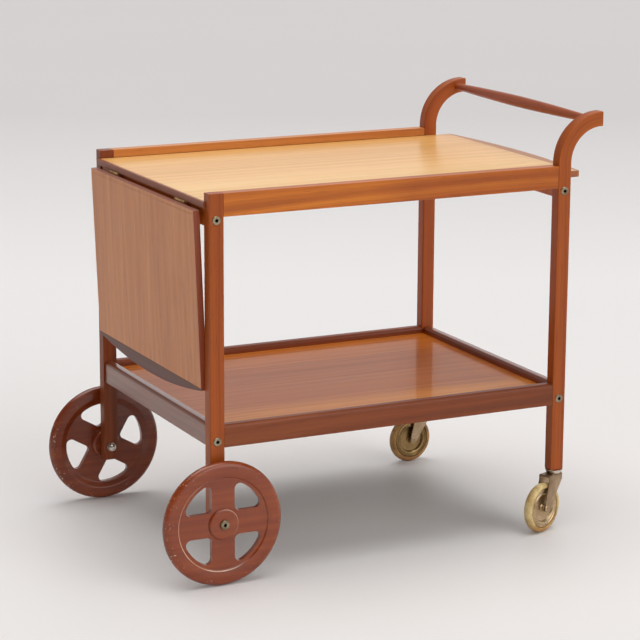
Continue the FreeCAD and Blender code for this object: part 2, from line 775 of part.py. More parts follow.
part("cross_rail_dowels", group("cross_rail_dowels", cross_dowels))
part("side_frame_dowels", group("side_frame_dowels", side_dowels))


# ---- sliding top -------------------------------------------------------------------------------

def screw(name, along, x, y, z, long):
    # countersunk screw whose flat head starts at x, y, z
    head = cone(name + "_head", along, x, y, z, s.screw_head, s.screw_radius, s.plate_thick)
    return fuse(name, [head, rod(name + "_shank", along, x, y, z, s.screw_radius, long)])


def screw_hole(name, along, x, y, z, long):
    return rod(name, along, x, y, z, s.screw_radius + s.fit_gap, long + s.fit_gap)


def screw_sink(name, along, x, y, z):
    # countersink through a hinge plate
    wide = s.screw_head + s.fit_gap
    return cone(name, along, x, y, z, wide, s.screw_radius + s.fit_gap, s.plate_thick)


screw_steps = (-1, 0, 1)
board_screw_x = hinge_x + s.screw_back
board_screw_z = board_low - s.plate_thick


def hinge_screw_spots(side):
    return [s.hinge_spread / 2 * side + s.screw_spread * step for step in screw_steps]


stop_low_x = left_cross_face + s.cross_thick + s.slide_gap
stop_screw_y = s.stop_wide / 4
stop_screw_x = stop_low_x + s.stop_long / 2
stop_screw_long = s.stop_tall + s.screw_long


def board_panel():
    low = (board_end + s.end_lipping, -board_half, board_low)
    high = (board_corner - s.lipping_least, board_half, board_top)
    cutters = []
    for word, side in SIDES:
        for i, y in enumerate(hinge_screw_spots(side)):
            name = "board_hole_%s_%d" % (word, i)
            cutters.append(screw_hole(name, "+Z", board_screw_x, y, board_screw_z, s.screw_long))
        name = "board_stop_hole_" + word
        cutters.append(screw_hole(name, "+Z", stop_screw_x, stop_screw_y * side, board_low - s.stop_tall, stop_screw_long))
    return part("board_panel", cut("board_panel", span("board_blank", low, high), cutters))


def bowed_lipping(name, width_half, least, bow, thick):
    # solid strip, straight inside and curved outside; in its own frame it points along +X
    body = new_body(name)
    radius = arc_radius(width_half, bow)
    corners = [
        (ZERO, -width_half),
        (least, -width_half),
        (least, width_half, radius, "left"),
        (ZERO, width_half),
    ]
    pad(body, outline(body, "XY_Plane", corners), thick)
    return body


board_panel()
lipping = bowed_lipping("board_bowed_lipping", board_half, s.lipping_least, s.board_bow, s.board_thick)
part("board_bowed_lipping", place(lipping, board_corner - s.lipping_least, ZERO, board_low))
part(
    "board_end_lipping",
    span("board_end_lipping", (board_end, -runner_half, board_low), (board_end + s.end_lipping, runner_half, board_top)),
)
for word, side in SIDES:
    low_y, high_y = y_span(side, runner_half, board_half)
    low = (board_end + s.end_lipping, low_y, board_low)
    name = word + "_runner_strip"
    part(name, span(name, low, (runner_end, high_y, board_top)))


def stop_block():
    low = (stop_low_x, -s.stop_wide / 2, board_low - s.stop_tall)
    high = (stop_low_x + s.stop_long, s.stop_wide / 2, board_low)
    cutters = []
    for word, side in SIDES:
        y = stop_screw_y * side
        cutters.append(screw_hole("stop_hole_" + word, "+Z", stop_screw_x, y, low[2], s.stop_tall))
        cutters.append(screw_sink("stop_sink_" + word, "+Z", stop_screw_x, y, low[2]))
    return part("top_stop_block", cut("top_stop_block", span("stop_blank", low, high), cutters))


stop_block()

# ---- hinges ------------------------------------------------------------------------------------
# Each hinge is drawn with its pin on the origin along Y, the leaf hanging straight down, then placed.

bare = s.knuckle_radius + s.knuckle_play
middle_half = s.knuckle_long / 2
end_half = s.hinge_long / 2


def knuckle(name, low_y, high_y):
    return rod(name, "+Y", ZERO, low_y, ZERO, s.knuckle_radius, high_y - low_y)


def board_hinge_plate(word, side):
    name = word + "_hinge_board_plate"
    low_z = s.hinge_drop - s.plate_thick
    plate = span(name + "_plate", (ZERO, -end_half, low_z), (s.plate_wide, end_half, s.hinge_drop))
    ends = [
        knuckle(name + "_knuckle_a", -end_half, -middle_half - s.knuckle_play),
        knuckle(name + "_knuckle_b", middle_half + s.knuckle_play, end_half),
    ]
    blank = fuse(name + "_blank", [plate] + ends)
    reach = middle_half + s.knuckle_play
    gap = span(name + "_gap", (-bare, -reach, -bare), (bare, reach, bare))
    bore = rod(name + "_bore", "+Y", ZERO, -end_half, ZERO, s.pin_radius + s.fit_gap, s.hinge_long)
    sinks = []
    for i, step in enumerate(screw_steps):
        sinks.append(screw_sink("%s_sink_%d" % (name, i), "+Z", s.screw_back, s.screw_spread * step, low_z))
    piece = cut(name, blank, [gap, bore] + sinks)
    return part(name, place(piece, hinge_x, s.hinge_spread / 2 * side, hinge_z))


def lean(piece, y=ZERO):
    # a leaf piece, drawn round the hinge axis, at its place and lean
    return place(piece, hinge_x, y, hinge_z, axis=Y_AXIS, angle=-s.leaf_degrees)


def leaf_hinge_plate(word, side):
    name = word + "_hinge_leaf_plate"
    face = -s.hinge_drop
    plate = span(name + "_plate", (face, -end_half, -s.plate_wide), (face + s.plate_thick, end_half, ZERO))
    middle = knuckle(name + "_knuckle", -middle_half, middle_half)
    blank = fuse(name + "_blank", [plate, middle])
    gaps = []
    for end, low, high in (("a", -end_half, -middle_half), ("b", middle_half, end_half)):
        gaps.append(span(name + "_gap_" + end, (-bare, low, -bare), (bare, high, bare)))
    bore = rod(name + "_bore", "+Y", ZERO, -end_half, ZERO, s.pin_radius + s.fit_gap, s.hinge_long)
    sinks = []
    for i, step in enumerate(screw_steps):
        spot = s.screw_spread * step
        sinks.append(screw_sink("%s_sink_%d" % (name, i), "-X", face + s.plate_thick, spot, -s.screw_back))
    return part(name, lean(cut(name, blank, gaps + [bore] + sinks), s.hinge_spread / 2 * side))


for word, side in SIDES:
    board_hinge_plate(word, side)
    leaf_hinge_plate(word, side)
    pin = rod(word + "_hinge_pin", "+Y", ZERO, -end_half, ZERO, s.pin_radius, s.hinge_long)
    pin.setExpression("Placement.Base.x", hinge_x.text)
    pin.setExpression("Placement.Base.y", (s.hinge_spread / 2 * side - end_half).text)
    pin.setExpression("Placement.Base.z", hinge_z.text)
    part(word + "_hinge_pin", pin)

board_screws = []
for word, side in SIDES:
    for i, y in enumerate(hinge_screw_spots(side)):
        board_screws.append(screw("board_screw_%s_%d" % (word, i), "+Z", board_screw_x, y, board_screw_z, s.screw_long))
    low_z = board_low - s.stop_tall
    board_screws.append(screw("stop_screw_" + word, "+Z", stop_screw_x, stop_screw_y * side, low_z, stop_screw_long))
part("board_screws", group("board_screws", board_screws))


# ---- drop leaf ---------------------------------------------------------------------------------
# Drawn round the hinge axis, hanging straight down: its inner face is hinge_drop outside the axis.

leaf_half = inner_face - s.leaf_play
leaf_inner = -s.hinge_drop
leaf_outer = leaf_inner - s.board_thick
leaf_edge = -s.hinge_gap
panel_edge = leaf_edge - s.leaf_lipping
leaf_low = shelf_rail_top + s.leaf_above_rail - hinge_z
panel_end = leaf_low + s.lipping_least


def leaf_panel():
    blank = span("leaf_blank", (leaf_outer, -leaf_half, panel_end), (leaf_inner, leaf_half, panel_edge))
    holes = []
    start = leaf_inner + s.plate_thick
    for word, side in SIDES:
        for i, y in enumerate(hinge_screw_spots(side)):
            name = "leaf_hole_%s_%d" % (word, i)
            holes.append(screw_hole(name, "-X", start, y, -s.screw_back, s.screw_long))
    return part("leaf_panel", lean(cut("leaf_panel", blank, holes)))


leaf_panel()
hinge_lipping = span("leaf_hinge_lipping", (leaf_outer, -leaf_half, panel_edge), (leaf_inner, leaf_half, leaf_edge))
leaf_edge_strip = add("Part::Compound", "leaf_hinge_lipping_placed")
leaf_edge_strip.Links = [hinge_lipping]
part("leaf_hinge_lipping", lean(leaf_edge_strip))


def leaf_bowed_lipping():
    # YZ plane: across the leaf and up; the curve hangs below the straight joint
    name = "leaf_bowed_lipping"
    body = new_body(name)
    low = panel_end - s.lipping_least
    corners = [
        (-leaf_half, panel_end),
        (-leaf_half, low),
        (leaf_half, low, arc_radius(leaf_half, s.leaf_bow), "left"),
        (leaf_half, panel_end),
    ]
    pad(body, outline(body, "YZ_Plane", corners, leaf_outer), s.board_thick)
    return part(name, lean(body))


leaf_bowed_lipping()
leaf_screws = []
for word, side in SIDES:
    for i, y in enumerate(hinge_screw_spots(side)):
        start = leaf_inner + s.plate_thick
        leaf_screws.append(screw("leaf_screw_%s_%d" % (word, i), "-X", start, y, -s.screw_back, s.screw_long))
part("leaf_screws", lean(group("leaf_screws", leaf_screws)))


# ---- large wheels ------------------------------------------------------------------------------

def wooden_wheel(name):
    # Turned round Y with the leg's outer face at y = 0 and the wheel on its -Y side, then pierced.
    outer = -s.wheel_gap - s.wheel_thick
    inner = -s.wheel_gap
    step = (s.wheel_thick - s.web_thick) / 2
    recess = s.wheel_radius - s.rim_wide
    r = s.wheel_radius
    edge = s.edge_round
    hub_back = -s.washer_thick - s.wheel_play
    bore = s.sleeve_radius + s.fit_gap
    body = new_body(name)
    corners = [
        (bore, outer),
        (s.hub_radius - edge, outer),
        (s.hub_radius, outer + edge, edge, "left"),
        (s.hub_radius, outer + step),
        (recess, outer + step),
        (recess, outer + edge),
        (recess + edge, outer, edge, "left"),
        (r - s.rim_round, outer),
        (r, outer + s.rim_round, s.rim_round, "left"),
        (r, inner - s.rim_round),
        (r - s.rim_round, inner, s.rim_round, "left"),
        (recess + edge, inner),
        (recess, inner - edge, edge, "left"),
        (recess, inner - step),
        (s.hub_radius, inner - step),
        (s.hub_radius, hub_back - edge),
        (s.hub_radius - edge, hub_back, edge, "left"),
        (bore, hub_back),
    ]
    blank = revolve(body, outline(body, "XY_Plane", corners))
    doc.recompute()
    # one sector hole between two spokes, with rounded corners
    h = s.spoke_wide / 2
    c = s.hole_corner
    reach = s.hole_reach
    up = root((reach - c) * (reach - c) - (h + c) * (h + c))
    k = reach / (reach - c)
    sector = [
        (h + c, h),
        (up, h),
        (up * k, (h + c) * k, c, "left"),
        ((h + c) * k, up * k, reach, "left"),
        (h, up, c, "left"),
        (h, h + c),
    ]
    sector[0] = (h + c, h, c, "left")
    sketch = outline(body, "XZ_Plane", sector, name="sector")
    pocket = body.newObject("PartDesign::Pocket", "hole")
    pocket.Profile = sketch
    pocket.Midplane = True
    pocket.Type = "Length"
    bind(pocket, "Length", (s.wheel_gap + s.wheel_thick) * 4)
    doc.recompute()
    pattern = body.newObject("PartDesign::PolarPattern", "holes")
    pattern.Originals = [pocket]
    pattern.Axis = (sketch, ["N_Axis"])
    pattern.Angle = 360
    pattern.Occurrences = 4
    body.Tip = pattern
    return body


def turned_wheel(word, side, turn):
    name = word + "_wheel"
    body = wooden_wheel(name)
    # the far wheel is the same piece faced about; the turn is how it happens to stand
    facing = FreeCAD.Rotation(Z_AXIS, 0 if side < 0 else 180)
    body.Placement = FreeCAD.Placement(FreeCAD.Vector(), facing * FreeCAD.Rotation(Y_AXIS, turn.value))
    bind(body, "Placement.Base.x", left_leg_middle)
    bind(body, "Placement.Base.y", half_width * side)
    bind(body, "Placement.Base.z", axle_height)
    return part(name, body)


turned_wheel("near", -1, s.near_wheel_degrees)
turned_wheel("far", 1, s.far_wheel_degrees)

sleeve_long = s.wheel_gap + s.wheel_thick + s.wheel_play


def dome_nut(name, side):
    toward = "+Y" if side < 0 else "-Y"
    seat = (inner_face - s.washer_thick) * side
    blank = hexagon(name + "_hex", toward, left_leg_middle, seat, axle_height, s.dome_corner_radius, s.dome_hex_tall)
    cap = add("Part::Sphere", name + "_cap")
    bind(cap, "Radius", s.dome_radius)
    cap.Angle1 = 0
    y = (inner_face - s.washer_thick - s.dome_hex_tall) * side
    place(cap, left_leg_middle, y, axle_height, axis=X_AXIS, angle=90 * side)
    bore = rod(name + "_bore", toward, left_leg_middle, seat, axle_height, s.axle_radius + s.fit_gap, s.dome_hex_tall)
    return cut(name, fuse(name + "_blank", [blank, cap]), [bore])


def axle_bolt(name, side):
    toward = "+Y" if side < 0 else "-Y"
    seat = (half_width + sleeve_long) * side
    top = (half_width + sleeve_long + s.axle_head_thick) * side
    long = sleeve_long + s.leg_deep + s.washer_thick + s.dome_hex_tall - s.wheel_play
    head = rod(name + "_head", toward, left_leg_middle, top, axle_height, s.axle_head_radius, s.axle_head_thick)
    shank = rod(name + "_shank", toward, left_leg_middle, seat, axle_height, s.axle_radius, long)
    socket = hexagon(name + "_socket", toward, left_leg_middle, top, axle_height, s.socket_radius, s.axle_head_thick)
    return cut(name, fuse(name + "_blank", [head, shank]), [socket])


def ring(name, along, x, y, z, outer, inner, long):
    tube = rod(name + "_outside", along, x, y, z, outer, long)
    return cut(name, tube, [rod(name + "_inside", along, x, y, z, inner, long)])


axle_bolts = []
sleeves = []
washers = []
dome_nuts = []
for word, side in SIDES:
    outward = "-Y" if side < 0 else "+Y"
    inward = "+Y" if side < 0 else "-Y"
    x = left_leg_middle
    bore = s.axle_radius + s.fit_gap
    axle_bolts.append(axle_bolt(word + "_axle_bolt", side))
    face = half_width * side
    sleeves.append(ring(word + "_sleeve", outward, x, face, axle_height, s.sleeve_radius, bore, sleeve_long))
    around = s.sleeve_radius + s.fit_gap
    washers.append(ring(word + "_hub_washer", outward, x, face, axle_height, s.washer_radius, around, s.washer_thick))
    back = inner_face * side
    washers.append(ring(word + "_nut_washer", inward, x, back, axle_height, s.nut_washer_radius, bore, s.washer_thick))
    dome_nuts.append(dome_nut(word + "_dome_nut", side))
part("axle_bolts", group("axle_bolts", axle_bolts))
part("axle_sleeves", group("axle_sleeves", sleeves))
part("axle_washers", group("axle_washers", washers))
part("dome_nuts", group("dome_nuts", dome_nuts))


# ---- casters -----------------------------------------------------------------------------------
# Drawn with the stem on the origin's Z axis and the wheel trailing along -X, then turned and placed.

crown_top = handle_foot - s.crown_gap
crown_low = crown_top - s.crown_thick
stem_bore = s.stem_radius + s.fit_gap


def at_caster(piece, side, turn):
    return place(piece, handle_leg_middle, leg_middle_y * side, ZERO, axis=Z_AXIS, angle=turn)


def caster_socket(name):
    # sleeve in the leg with a flared cap under the foot
    foot = handle_foot
    corners = [
        (stem_bore, foot - s.cap_wall),
        (s.cap_radius - s.cap_wall * 2, foot - s.cap_wall),
        (s.cap_radius - s.cap_wall * 2, foot - s.cap_tall),
        (s.cap_radius - s.cap_wall, foot - s.cap_tall),
        (s.cap_radius, foot - s.cap_wall),
        (s.cap_radius, foot),
        (stem_bore + s.socket_wall, foot),
        (stem_bore + s.socket_wall, foot + s.stem_long - s.fit_gap),
        (stem_bore, foot + s.stem_long - s.fit_gap),
    ]
    return turned(name, corners, "XZ_Plane")


def caster_stem(name):
    foot = handle_foot
    corners = [
        (ZERO, crown_low - s.stem_head_thick),
        (s.stem_head_radius, crown_low - s.stem_head_thick),
        (s.stem_head_radius, crown_low),
        (s.stem_radius, crown_low),
        (s.stem_radius, foot + s.stem_long - s.wheel_play * 2),
        (ZERO, foot + s.stem_long - s.wheel_play * 2),
    ]
    return turned(name, corners, "XZ_Plane")


def caster_race(name):
    low = crown_top
    high = handle_foot - s.cap_wall - s.race_gap
    corners = [(stem_bore, low), (s.race_radius, low), (s.race_radius, high), (stem_bore, high)]
    return turned(name, corners, "XZ_Plane")


def caster_fork(name):
    # crown plate and two cheeks that taper down to the axle
    body = new_body(name + "_blank")
    trail = s.caster_trail
    end = s.fork_end_radius
    axle = s.caster_radius
    shoulder = crown_top - s.fork_shoulder
    side_view = [
        (s.fork_front, crown_top),
        (-s.fork_back, crown_top),
        (-s.fork_back, shoulder),
        (-trail - end, axle),
        (-trail, axle - end, end, "left"),
        (-trail + end, axle, end, "left"),
        (s.fork_front, shoulder),
    ]
    wide = s.fork_inside + s.cheek_thick * 2
    pad(body, outline(body, "XZ_Plane", side_view), wide, midplane=True)
    # open below the skirt; above it, closed at the back
    half = s.fork_inside / 2
    front = s.fork_front + end
    skirt_low = tyre_top + s.skirt_gap
    inside = [
        span(name + "_inside", (-trail - end * 2, -half, ZERO), (front, half, skirt_low)),
        span(name + "_under_crown", (-s.fork_back + s.cheek_thick, -half, skirt_low), (front, half, crown_low)),
    ]
    axle_hole = rod(name + "_axle", "+Y", -trail, -wide, axle, s.caster_axle_radius + s.fit_gap, wide * 2)
    stem_hole = rod(name + "_stem", "+Z", ZERO, ZERO, crown_low, s.stem_radius + s.fit_gap, s.crown_thick)
    return cut(name, body, inside + [axle_hole, stem_hole])


def caster_axle(name):
    half = s.fork_inside / 2 + s.cheek_thick
    corners = [
        (ZERO, -half - s.rivet_thick),
        (s.rivet_radius, -half - s.rivet_thick),
        (s.rivet_radius, -half),
        (s.caster_axle_radius, -half),
        (s.caster_axle_radius, half),
        (s.rivet_radius, half),
        (s.rivet_radius, half + s.rivet_thick),
        (ZERO, half + s.rivet_thick),
    ]
    return turned(name, corners)


def mirrored_section(half):
    # a section drawn on its +Y half, joined to its mirror image
    return [(x, -y) for x, y in half] + [(x, y) for x, y in reversed(half)]


def caster_disc(name):
    bore = s.caster_axle_radius + s.fit_gap
    half = [
        (bore, s.disc_hub_long / 2),
        (s.disc_hub_radius, s.disc_hub_long / 2),
        (s.disc_hub_radius, s.dish_thick / 2),
        (s.dish_radius, s.dish_thick / 2),
        (s.dish_radius + s.dish_slope, s.disc_wide / 2),
        (s.disc_radius - s.disc_lip, s.disc_wide / 2),
        (s.disc_radius, s.disc_wide / 2 - s.disc_lip),
    ]
    return turned(name, mirrored_section(half))


def caster_tyre(name):
    seat = s.disc_wide / 2 - s.disc_lip
    side = s.tyre_wide / 2
    shoulder = s.caster_radius - s.tyre_crown
    corners = [
        (s.disc_radius, -seat),
        (s.disc_radius + s.disc_lip, -side),
        (shoulder, -side),
        (shoulder, side, arc_radius(side, s.tyre_crown), "left"),
        (s.disc_radius + s.disc_lip, side),
        (s.disc_radius, seat),
    ]
    return turned(name, corners)


def wheel_of_caster(piece, side, turn):
    # caster wheel pieces are drawn round their own axle
    holder = add("Part::Compound", piece.Name + "_placed")
    place(piece, -s.caster_trail, ZERO, s.caster_radius)
    holder.Links = [piece]
    return at_caster(holder, side, turn)


for word, side in SIDES:
    turn = s.near_caster_degrees if side < 0 else s.far_caster_degrees
    prefix = word + "_caster_"
    part(prefix + "socket", at_caster(caster_socket(prefix + "socket"), side, ZERO))
    part(prefix + "stem", at_caster(caster_stem(prefix + "stem"), side, ZERO))
    part(prefix + "race", at_caster(caster_race(prefix + "race"), side, ZERO))
    part(prefix + "fork", at_caster(caster_fork(prefix + "fork"), side, turn))
    part(prefix + "axle", wheel_of_caster(caster_axle(prefix + "axle"), side, turn))
    part(prefix + "disc", wheel_of_caster(caster_disc(prefix + "disc"), side, turn))
    part(prefix + "tyre", wheel_of_caster(caster_tyre(prefix + "tyre"), side, turn))


# ---- check and write ---------------------------------------------------------------------------

doc.recompute()
for thing in doc.Objects:
    if "Invalid" in thing.State or "Error" in thing.State:
        raise RuntimeError("%s failed: %s" % (thing.Name, thing.State))
for name, thing in parts:
    if thing.Shape.isNull() or not thing.Shape.isValid() or not thing.Shape.Solids:
        raise RuntimeError(name + " has no valid shape")
os.makedirs("parts", exist_ok=True)
for name, thing in parts:
    thing.Shape.exportStep("parts/%s.step" % name)
print(len(parts), "sub-parts")
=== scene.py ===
import math

import bmesh
import bpy
from mathutils import Matrix, Vector


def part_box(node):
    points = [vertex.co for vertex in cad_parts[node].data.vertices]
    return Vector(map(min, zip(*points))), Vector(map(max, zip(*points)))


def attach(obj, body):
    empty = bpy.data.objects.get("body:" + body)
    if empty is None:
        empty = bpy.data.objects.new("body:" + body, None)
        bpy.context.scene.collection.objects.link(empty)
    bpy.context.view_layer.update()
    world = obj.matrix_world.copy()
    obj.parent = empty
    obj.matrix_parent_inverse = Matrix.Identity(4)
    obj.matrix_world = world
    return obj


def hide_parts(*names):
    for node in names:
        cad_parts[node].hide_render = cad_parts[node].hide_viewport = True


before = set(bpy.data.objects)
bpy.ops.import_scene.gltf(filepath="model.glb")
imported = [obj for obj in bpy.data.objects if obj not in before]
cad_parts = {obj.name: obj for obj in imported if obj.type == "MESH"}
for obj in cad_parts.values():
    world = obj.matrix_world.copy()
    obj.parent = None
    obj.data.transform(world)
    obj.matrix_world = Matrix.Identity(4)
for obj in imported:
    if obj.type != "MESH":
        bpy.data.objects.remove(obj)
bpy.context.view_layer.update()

# A tea trolley: wooden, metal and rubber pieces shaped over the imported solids, with their finishes.
# Pieces are made in millimetres; finishPiece and the materials bring them to metres.

sides = (("near", -1), ("far", 1))
alongX = Vector((1, 0, 0))
alongY = Vector((0, 1, 0))
alongZ = Vector((0, 0, 1))


def nodeBox(name):
    low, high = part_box(name)
    return low * 1000, high * 1000


# making shapes

def meshFrom(bm, name):
    mesh = bpy.data.meshes.new(name)
    bm.to_mesh(mesh)
    bm.free()
    return mesh


def placed(name, data):
    made = bpy.data.objects.new(name, data)
    bpy.context.scene.collection.objects.link(made)
    return made


def turnShape(bm, matrix):
    bmesh.ops.rotate(bm, cent=(0, 0, 0), matrix=matrix, verts=bm.verts)


def moveShape(bm, way):
    bmesh.ops.translate(bm, vec=way, verts=bm.verts)


def spun(bm, geom, centre, axis, angle, steps, merge=False, copies=False):
    return bmesh.ops.spin(bm, geom=geom, cent=centre, axis=axis, dvec=(0, 0, 0), angle=angle, steps=steps,
                          use_merge=merge, use_duplicate=copies)


def mergeClose(bm, reach):
    bmesh.ops.remove_doubles(bm, verts=bm.verts, dist=reach)
    bmesh.ops.recalc_face_normals(bm, faces=bm.faces)


def blockBetween(low, high):
    bm = bmesh.new()
    bmesh.ops.create_cube(bm, size=1.0)
    bmesh.ops.scale(bm, vec=Vector(high) - Vector(low), verts=bm.verts)
    moveShape(bm, (Vector(low) + Vector(high)) / 2)
    return bm


def rodFrom(start, axis, radius, length, steps=32):
    bm = bmesh.new()
    bmesh.ops.create_cone(bm, cap_ends=True, segments=steps, radius1=radius, radius2=radius, depth=length)
    moveShape(bm, (0, 0, length / 2))
    turnShape(bm, alongZ.rotation_difference(Vector(axis)).to_matrix())
    moveShape(bm, start)
    return bm


def roundEdges(bm, edges, offset, segments=3):
    bmesh.ops.bevel(bm, geom=list(edges), offset=offset, offset_type="OFFSET", segments=segments,
                    profile=0.5, affect="EDGES", clamp_overlap=True, material=-1)


def softenRest(bm, offset, segments=2, least=40.0):
    # every edge that is still sharper than least degrees
    sharp = [e for e in bm.edges if e.is_manifold and e.calc_face_angle(0) > math.radians(least)]
    roundEdges(bm, sharp, offset, segments)


def edgesAlong(bm, axis, test):
    # edges that run along an axis and whose middle passes the test
    found = []
    for edge in bm.edges:
        a, b = edge.verts
        way = (b.co - a.co).normalized()
        if abs(way.dot(axis)) > 0.999 and test((a.co + b.co) / 2):
            found.append(edge)
    return found


def spotOn(axis, along, first, second):
    if axis is alongX:
        return Vector((along, first, second))
    if axis is alongY:
        return Vector((first, along, second))
    return Vector((first, second, along))


def thicken(bm, way, faces=None):
    # flat faces drawn out into a solid
    made = bmesh.ops.extrude_face_region(bm, geom=faces or bm.faces[:])
    grown = [v for v in made["geom"] if isinstance(v, bmesh.types.BMVert)]
    bmesh.ops.translate(bm, vec=way, verts=grown)
    bmesh.ops.recalc_face_normals(bm, faces=bm.faces)


def barFrom(corners, axis, low, high, rounds=None):
    # a section, its chosen corners rounded, drawn out along an axis
    bm = bmesh.new()
    verts = [bm.verts.new(spotOn(axis, low, a, b)) for a, b in corners]
    bm.faces.new(verts)
    for index, radius in (rounds or {}).items():
        bmesh.ops.bevel(bm, geom=[verts[index]], offset=radius, offset_type="OFFSET", segments=8,
                        profile=0.5, affect="VERTICES", clamp_overlap=True, material=-1)
    thicken(bm, spotOn(axis, high - low, 0, 0))
    return bm


def turnedShape(profile, centre, axis, steps=96):
    # profile points are (radius, place along the axis); it is closed by the axis or by itself
    bm = bmesh.new()
    outward = alongX if abs(axis.x) < 0.5 else alongZ
    verts = [bm.verts.new(Vector(centre) + outward * r + axis * h) for r, h in profile]
    edges = [bm.edges.new(pair) for pair in zip(verts, verts[1:])]
    if profile[0][0] > 0.001:
        edges.append(bm.edges.new((verts[-1], verts[0])))
    spun(bm, verts + edges, centre, axis, math.tau, steps, merge=True)
    mergeClose(bm, 0.002)
    return bm


def mirrored(half):
    # the other half of a turned profile, beyond the middle plane
    return [(radius, -place) for radius, place in reversed(half)]


def filleted(corners, steps=6):
    # closed profile of (radius, height, rounding) corners, each rounded off with an arc
    points = []
    for index, (radius, height, size) in enumerate(corners):
        here = Vector((radius, height))
        if not size:
            points.append((radius, height))
            continue
        back = (Vector(corners[index - 1][:2]) - here).normalized()
        onward = (Vector(corners[(index + 1) % len(corners)][:2]) - here).normalized()
        half = back.angle(onward) / 2
        centre = here + (back + onward).normalized() * (size / math.sin(half))
        first = here + back * (size / math.tan(half)) - centre
        last = here + onward * (size / math.tan(half)) - centre
        start = math.atan2(first.y, first.x)
        sweep = (math.atan2(last.y, last.x) - start + math.pi) % math.tau - math.pi
        for step in range(steps + 1):
            angle = start + sweep * step / steps
            points.append((centre.x + size * math.cos(angle), centre.y + size * math.sin(angle)))
    return points


def addShape(bm, other):
    # other's faces, put into bm
    mesh = meshFrom(other, "joining")
    bm.from_mesh(mesh)
    bpy.data.meshes.remove(mesh)
    return bm


def pierced(bm, cutter):
    # the shape less the cutter
    holders = []
    for name, shape in (("body", bm), ("tool", cutter)):
        bmesh.ops.recalc_face_normals(shape, faces=shape.faces)
        holders.append(placed(name, meshFrom(shape, name)))
    change = holders[0].modifiers.new("pierce", "BOOLEAN")
    change.operation = "DIFFERENCE"
    change.solver = "EXACT"
    change.object = holders[1]
    bpy.context.view_layer.update()
    graph = bpy.context.evaluated_depsgraph_get()
    cutMesh = bpy.data.meshes.new_from_object(holders[0].evaluated_get(graph))
    result = bmesh.new()
    result.from_mesh(cutMesh)
    for holder in holders:
        mesh = holder.data
        bpy.data.objects.remove(holder)
        bpy.data.meshes.remove(mesh)
    bpy.data.meshes.remove(cutMesh)
    return result


def finishPiece(bm, name, body, material, replaced=(), sharpAngle=34.0):
    mergeClose(bm, 0.003)
    openEdges = sum(1 for e in bm.edges if not e.is_manifold)
    if openEdges:
        print("  open edges:", name, openEdges)
    bmesh.ops.scale(bm, vec=(0.001, 0.001, 0.001), verts=bm.verts)
    mesh = meshFrom(bm, name)
    for polygon in mesh.polygons:
        polygon.use_smooth = True
    mesh.set_sharp_from_angle(angle=math.radians(sharpAngle))
    mesh.materials.append(material)
    piece = placed(name, mesh)
    evening = piece.modifiers.new("evenShading", "WEIGHTED_NORMAL")
    evening.keep_sharp = True
    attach(piece, body)
    if replaced:
        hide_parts(*replaced)
    return piece


def dressNode(material, *names):
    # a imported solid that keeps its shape
    for name in names:
        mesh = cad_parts[name].data
        mesh.materials.clear()
        mesh.materials.append(material)


# making finishes

def tint(red, green, blue):
    # a screen colour, 0 to 255, as the shaders want it
    linear = []
    for value in (red, green, blue):
        share = value / 255
        linear.append(share / 12.92 if share < 0.04 else ((share + 0.055) / 1.055) ** 2.4)
    return (linear[0], linear[1], linear[2], 1.0)


def feed(tree, socket, value):
    if isinstance(value, bpy.types.NodeSocket):
        tree.links.new(value, socket)
    else:
        socket.default_value = value


def addNode(tree, kind, inputs, **settings):
    made = tree.nodes.new("ShaderNode" + kind)
    for key, value in settings.items():
        setattr(made, key, value)
    for key, value in inputs.items():
        feed(tree, made.inputs[key], value)
    return made


def stretched(tree, vector, stretch):
    return addNode(tree, "VectorMath", {0: vector, 1: stretch}, operation="MULTIPLY").outputs[0]


def measured(tree, operation, vector, other=(0, 0, 0)):
    # the number that LENGTH, DISTANCE or DOT_PRODUCT gives
    return addNode(tree, "VectorMath", {0: vector, 1: other}, operation=operation).outputs["Value"]


def onAxis(tree, vector, letter):
    return addNode(tree, "SeparateXYZ", {0: vector}).outputs[letter]


# where nearly all values of a noise lie
usualSpan = (0.3, 0.7)


def noise(tree, vector, stretch, detail=2.0, rough=0.5):
    # stretch is one number, or one for each axis
    if not isinstance(stretch, tuple):
        stretch = (stretch,) * 3
    inputs = {"Vector": stretched(tree, vector, stretch), "Scale": 1.0, "Detail": detail, "Roughness": rough}
    return addNode(tree, "TexNoise", inputs).outputs[0]


def remap(tree, value, low, high, toLow=0.0, toHigh=1.0):
    inputs = {0: value, 1: low, 2: high, 3: toLow, 4: toHigh}
    return addNode(tree, "MapRange", inputs, clamp=True).outputs[0]


def combine(tree, operation, first, second=0.0):
    return addNode(tree, "Math", {0: first, 1: second}, operation=operation).outputs[0]


def product(tree, first, *others):
    for other in others:
        first = combine(tree, "MULTIPLY", first, other)
    return first


def total(tree, first, *others):
    for other in others:
        first = combine(tree, "ADD", first, other)
    return first


def gapTo(tree, value, place):
    return combine(tree, "ABSOLUTE", combine(tree, "SUBTRACT", value, place))


def blendColour(tree, factor, first, second, kind="MIX"):
    made = addNode(tree, "Mix", {0: factor, 6: first, 7: second}, data_type="RGBA", blend_type=kind)
    return made.outputs[2]


def toneRamp(tree, value, look, low, high):
    # a finish's dark, middle and light tones, spread from low to high
    ramp = addNode(tree, "ValToRGB", {0: value})
    stops = ramp.color_ramp.elements
    stops[0].position = low
    stops[0].color = tint(*look["dark"])
    stops[1].position = high
    stops[1].color = tint(*look["light"])
    middle = stops.new((low + high) / 2)
    middle.color = tint(*look["middle"])
    return ramp.outputs[0]


def blankMaterial(name):
    material = bpy.data.materials.new(name)
    material.use_nodes = True
    tree = material.node_tree
    return material, tree, tree.nodes["Principled BSDF"]


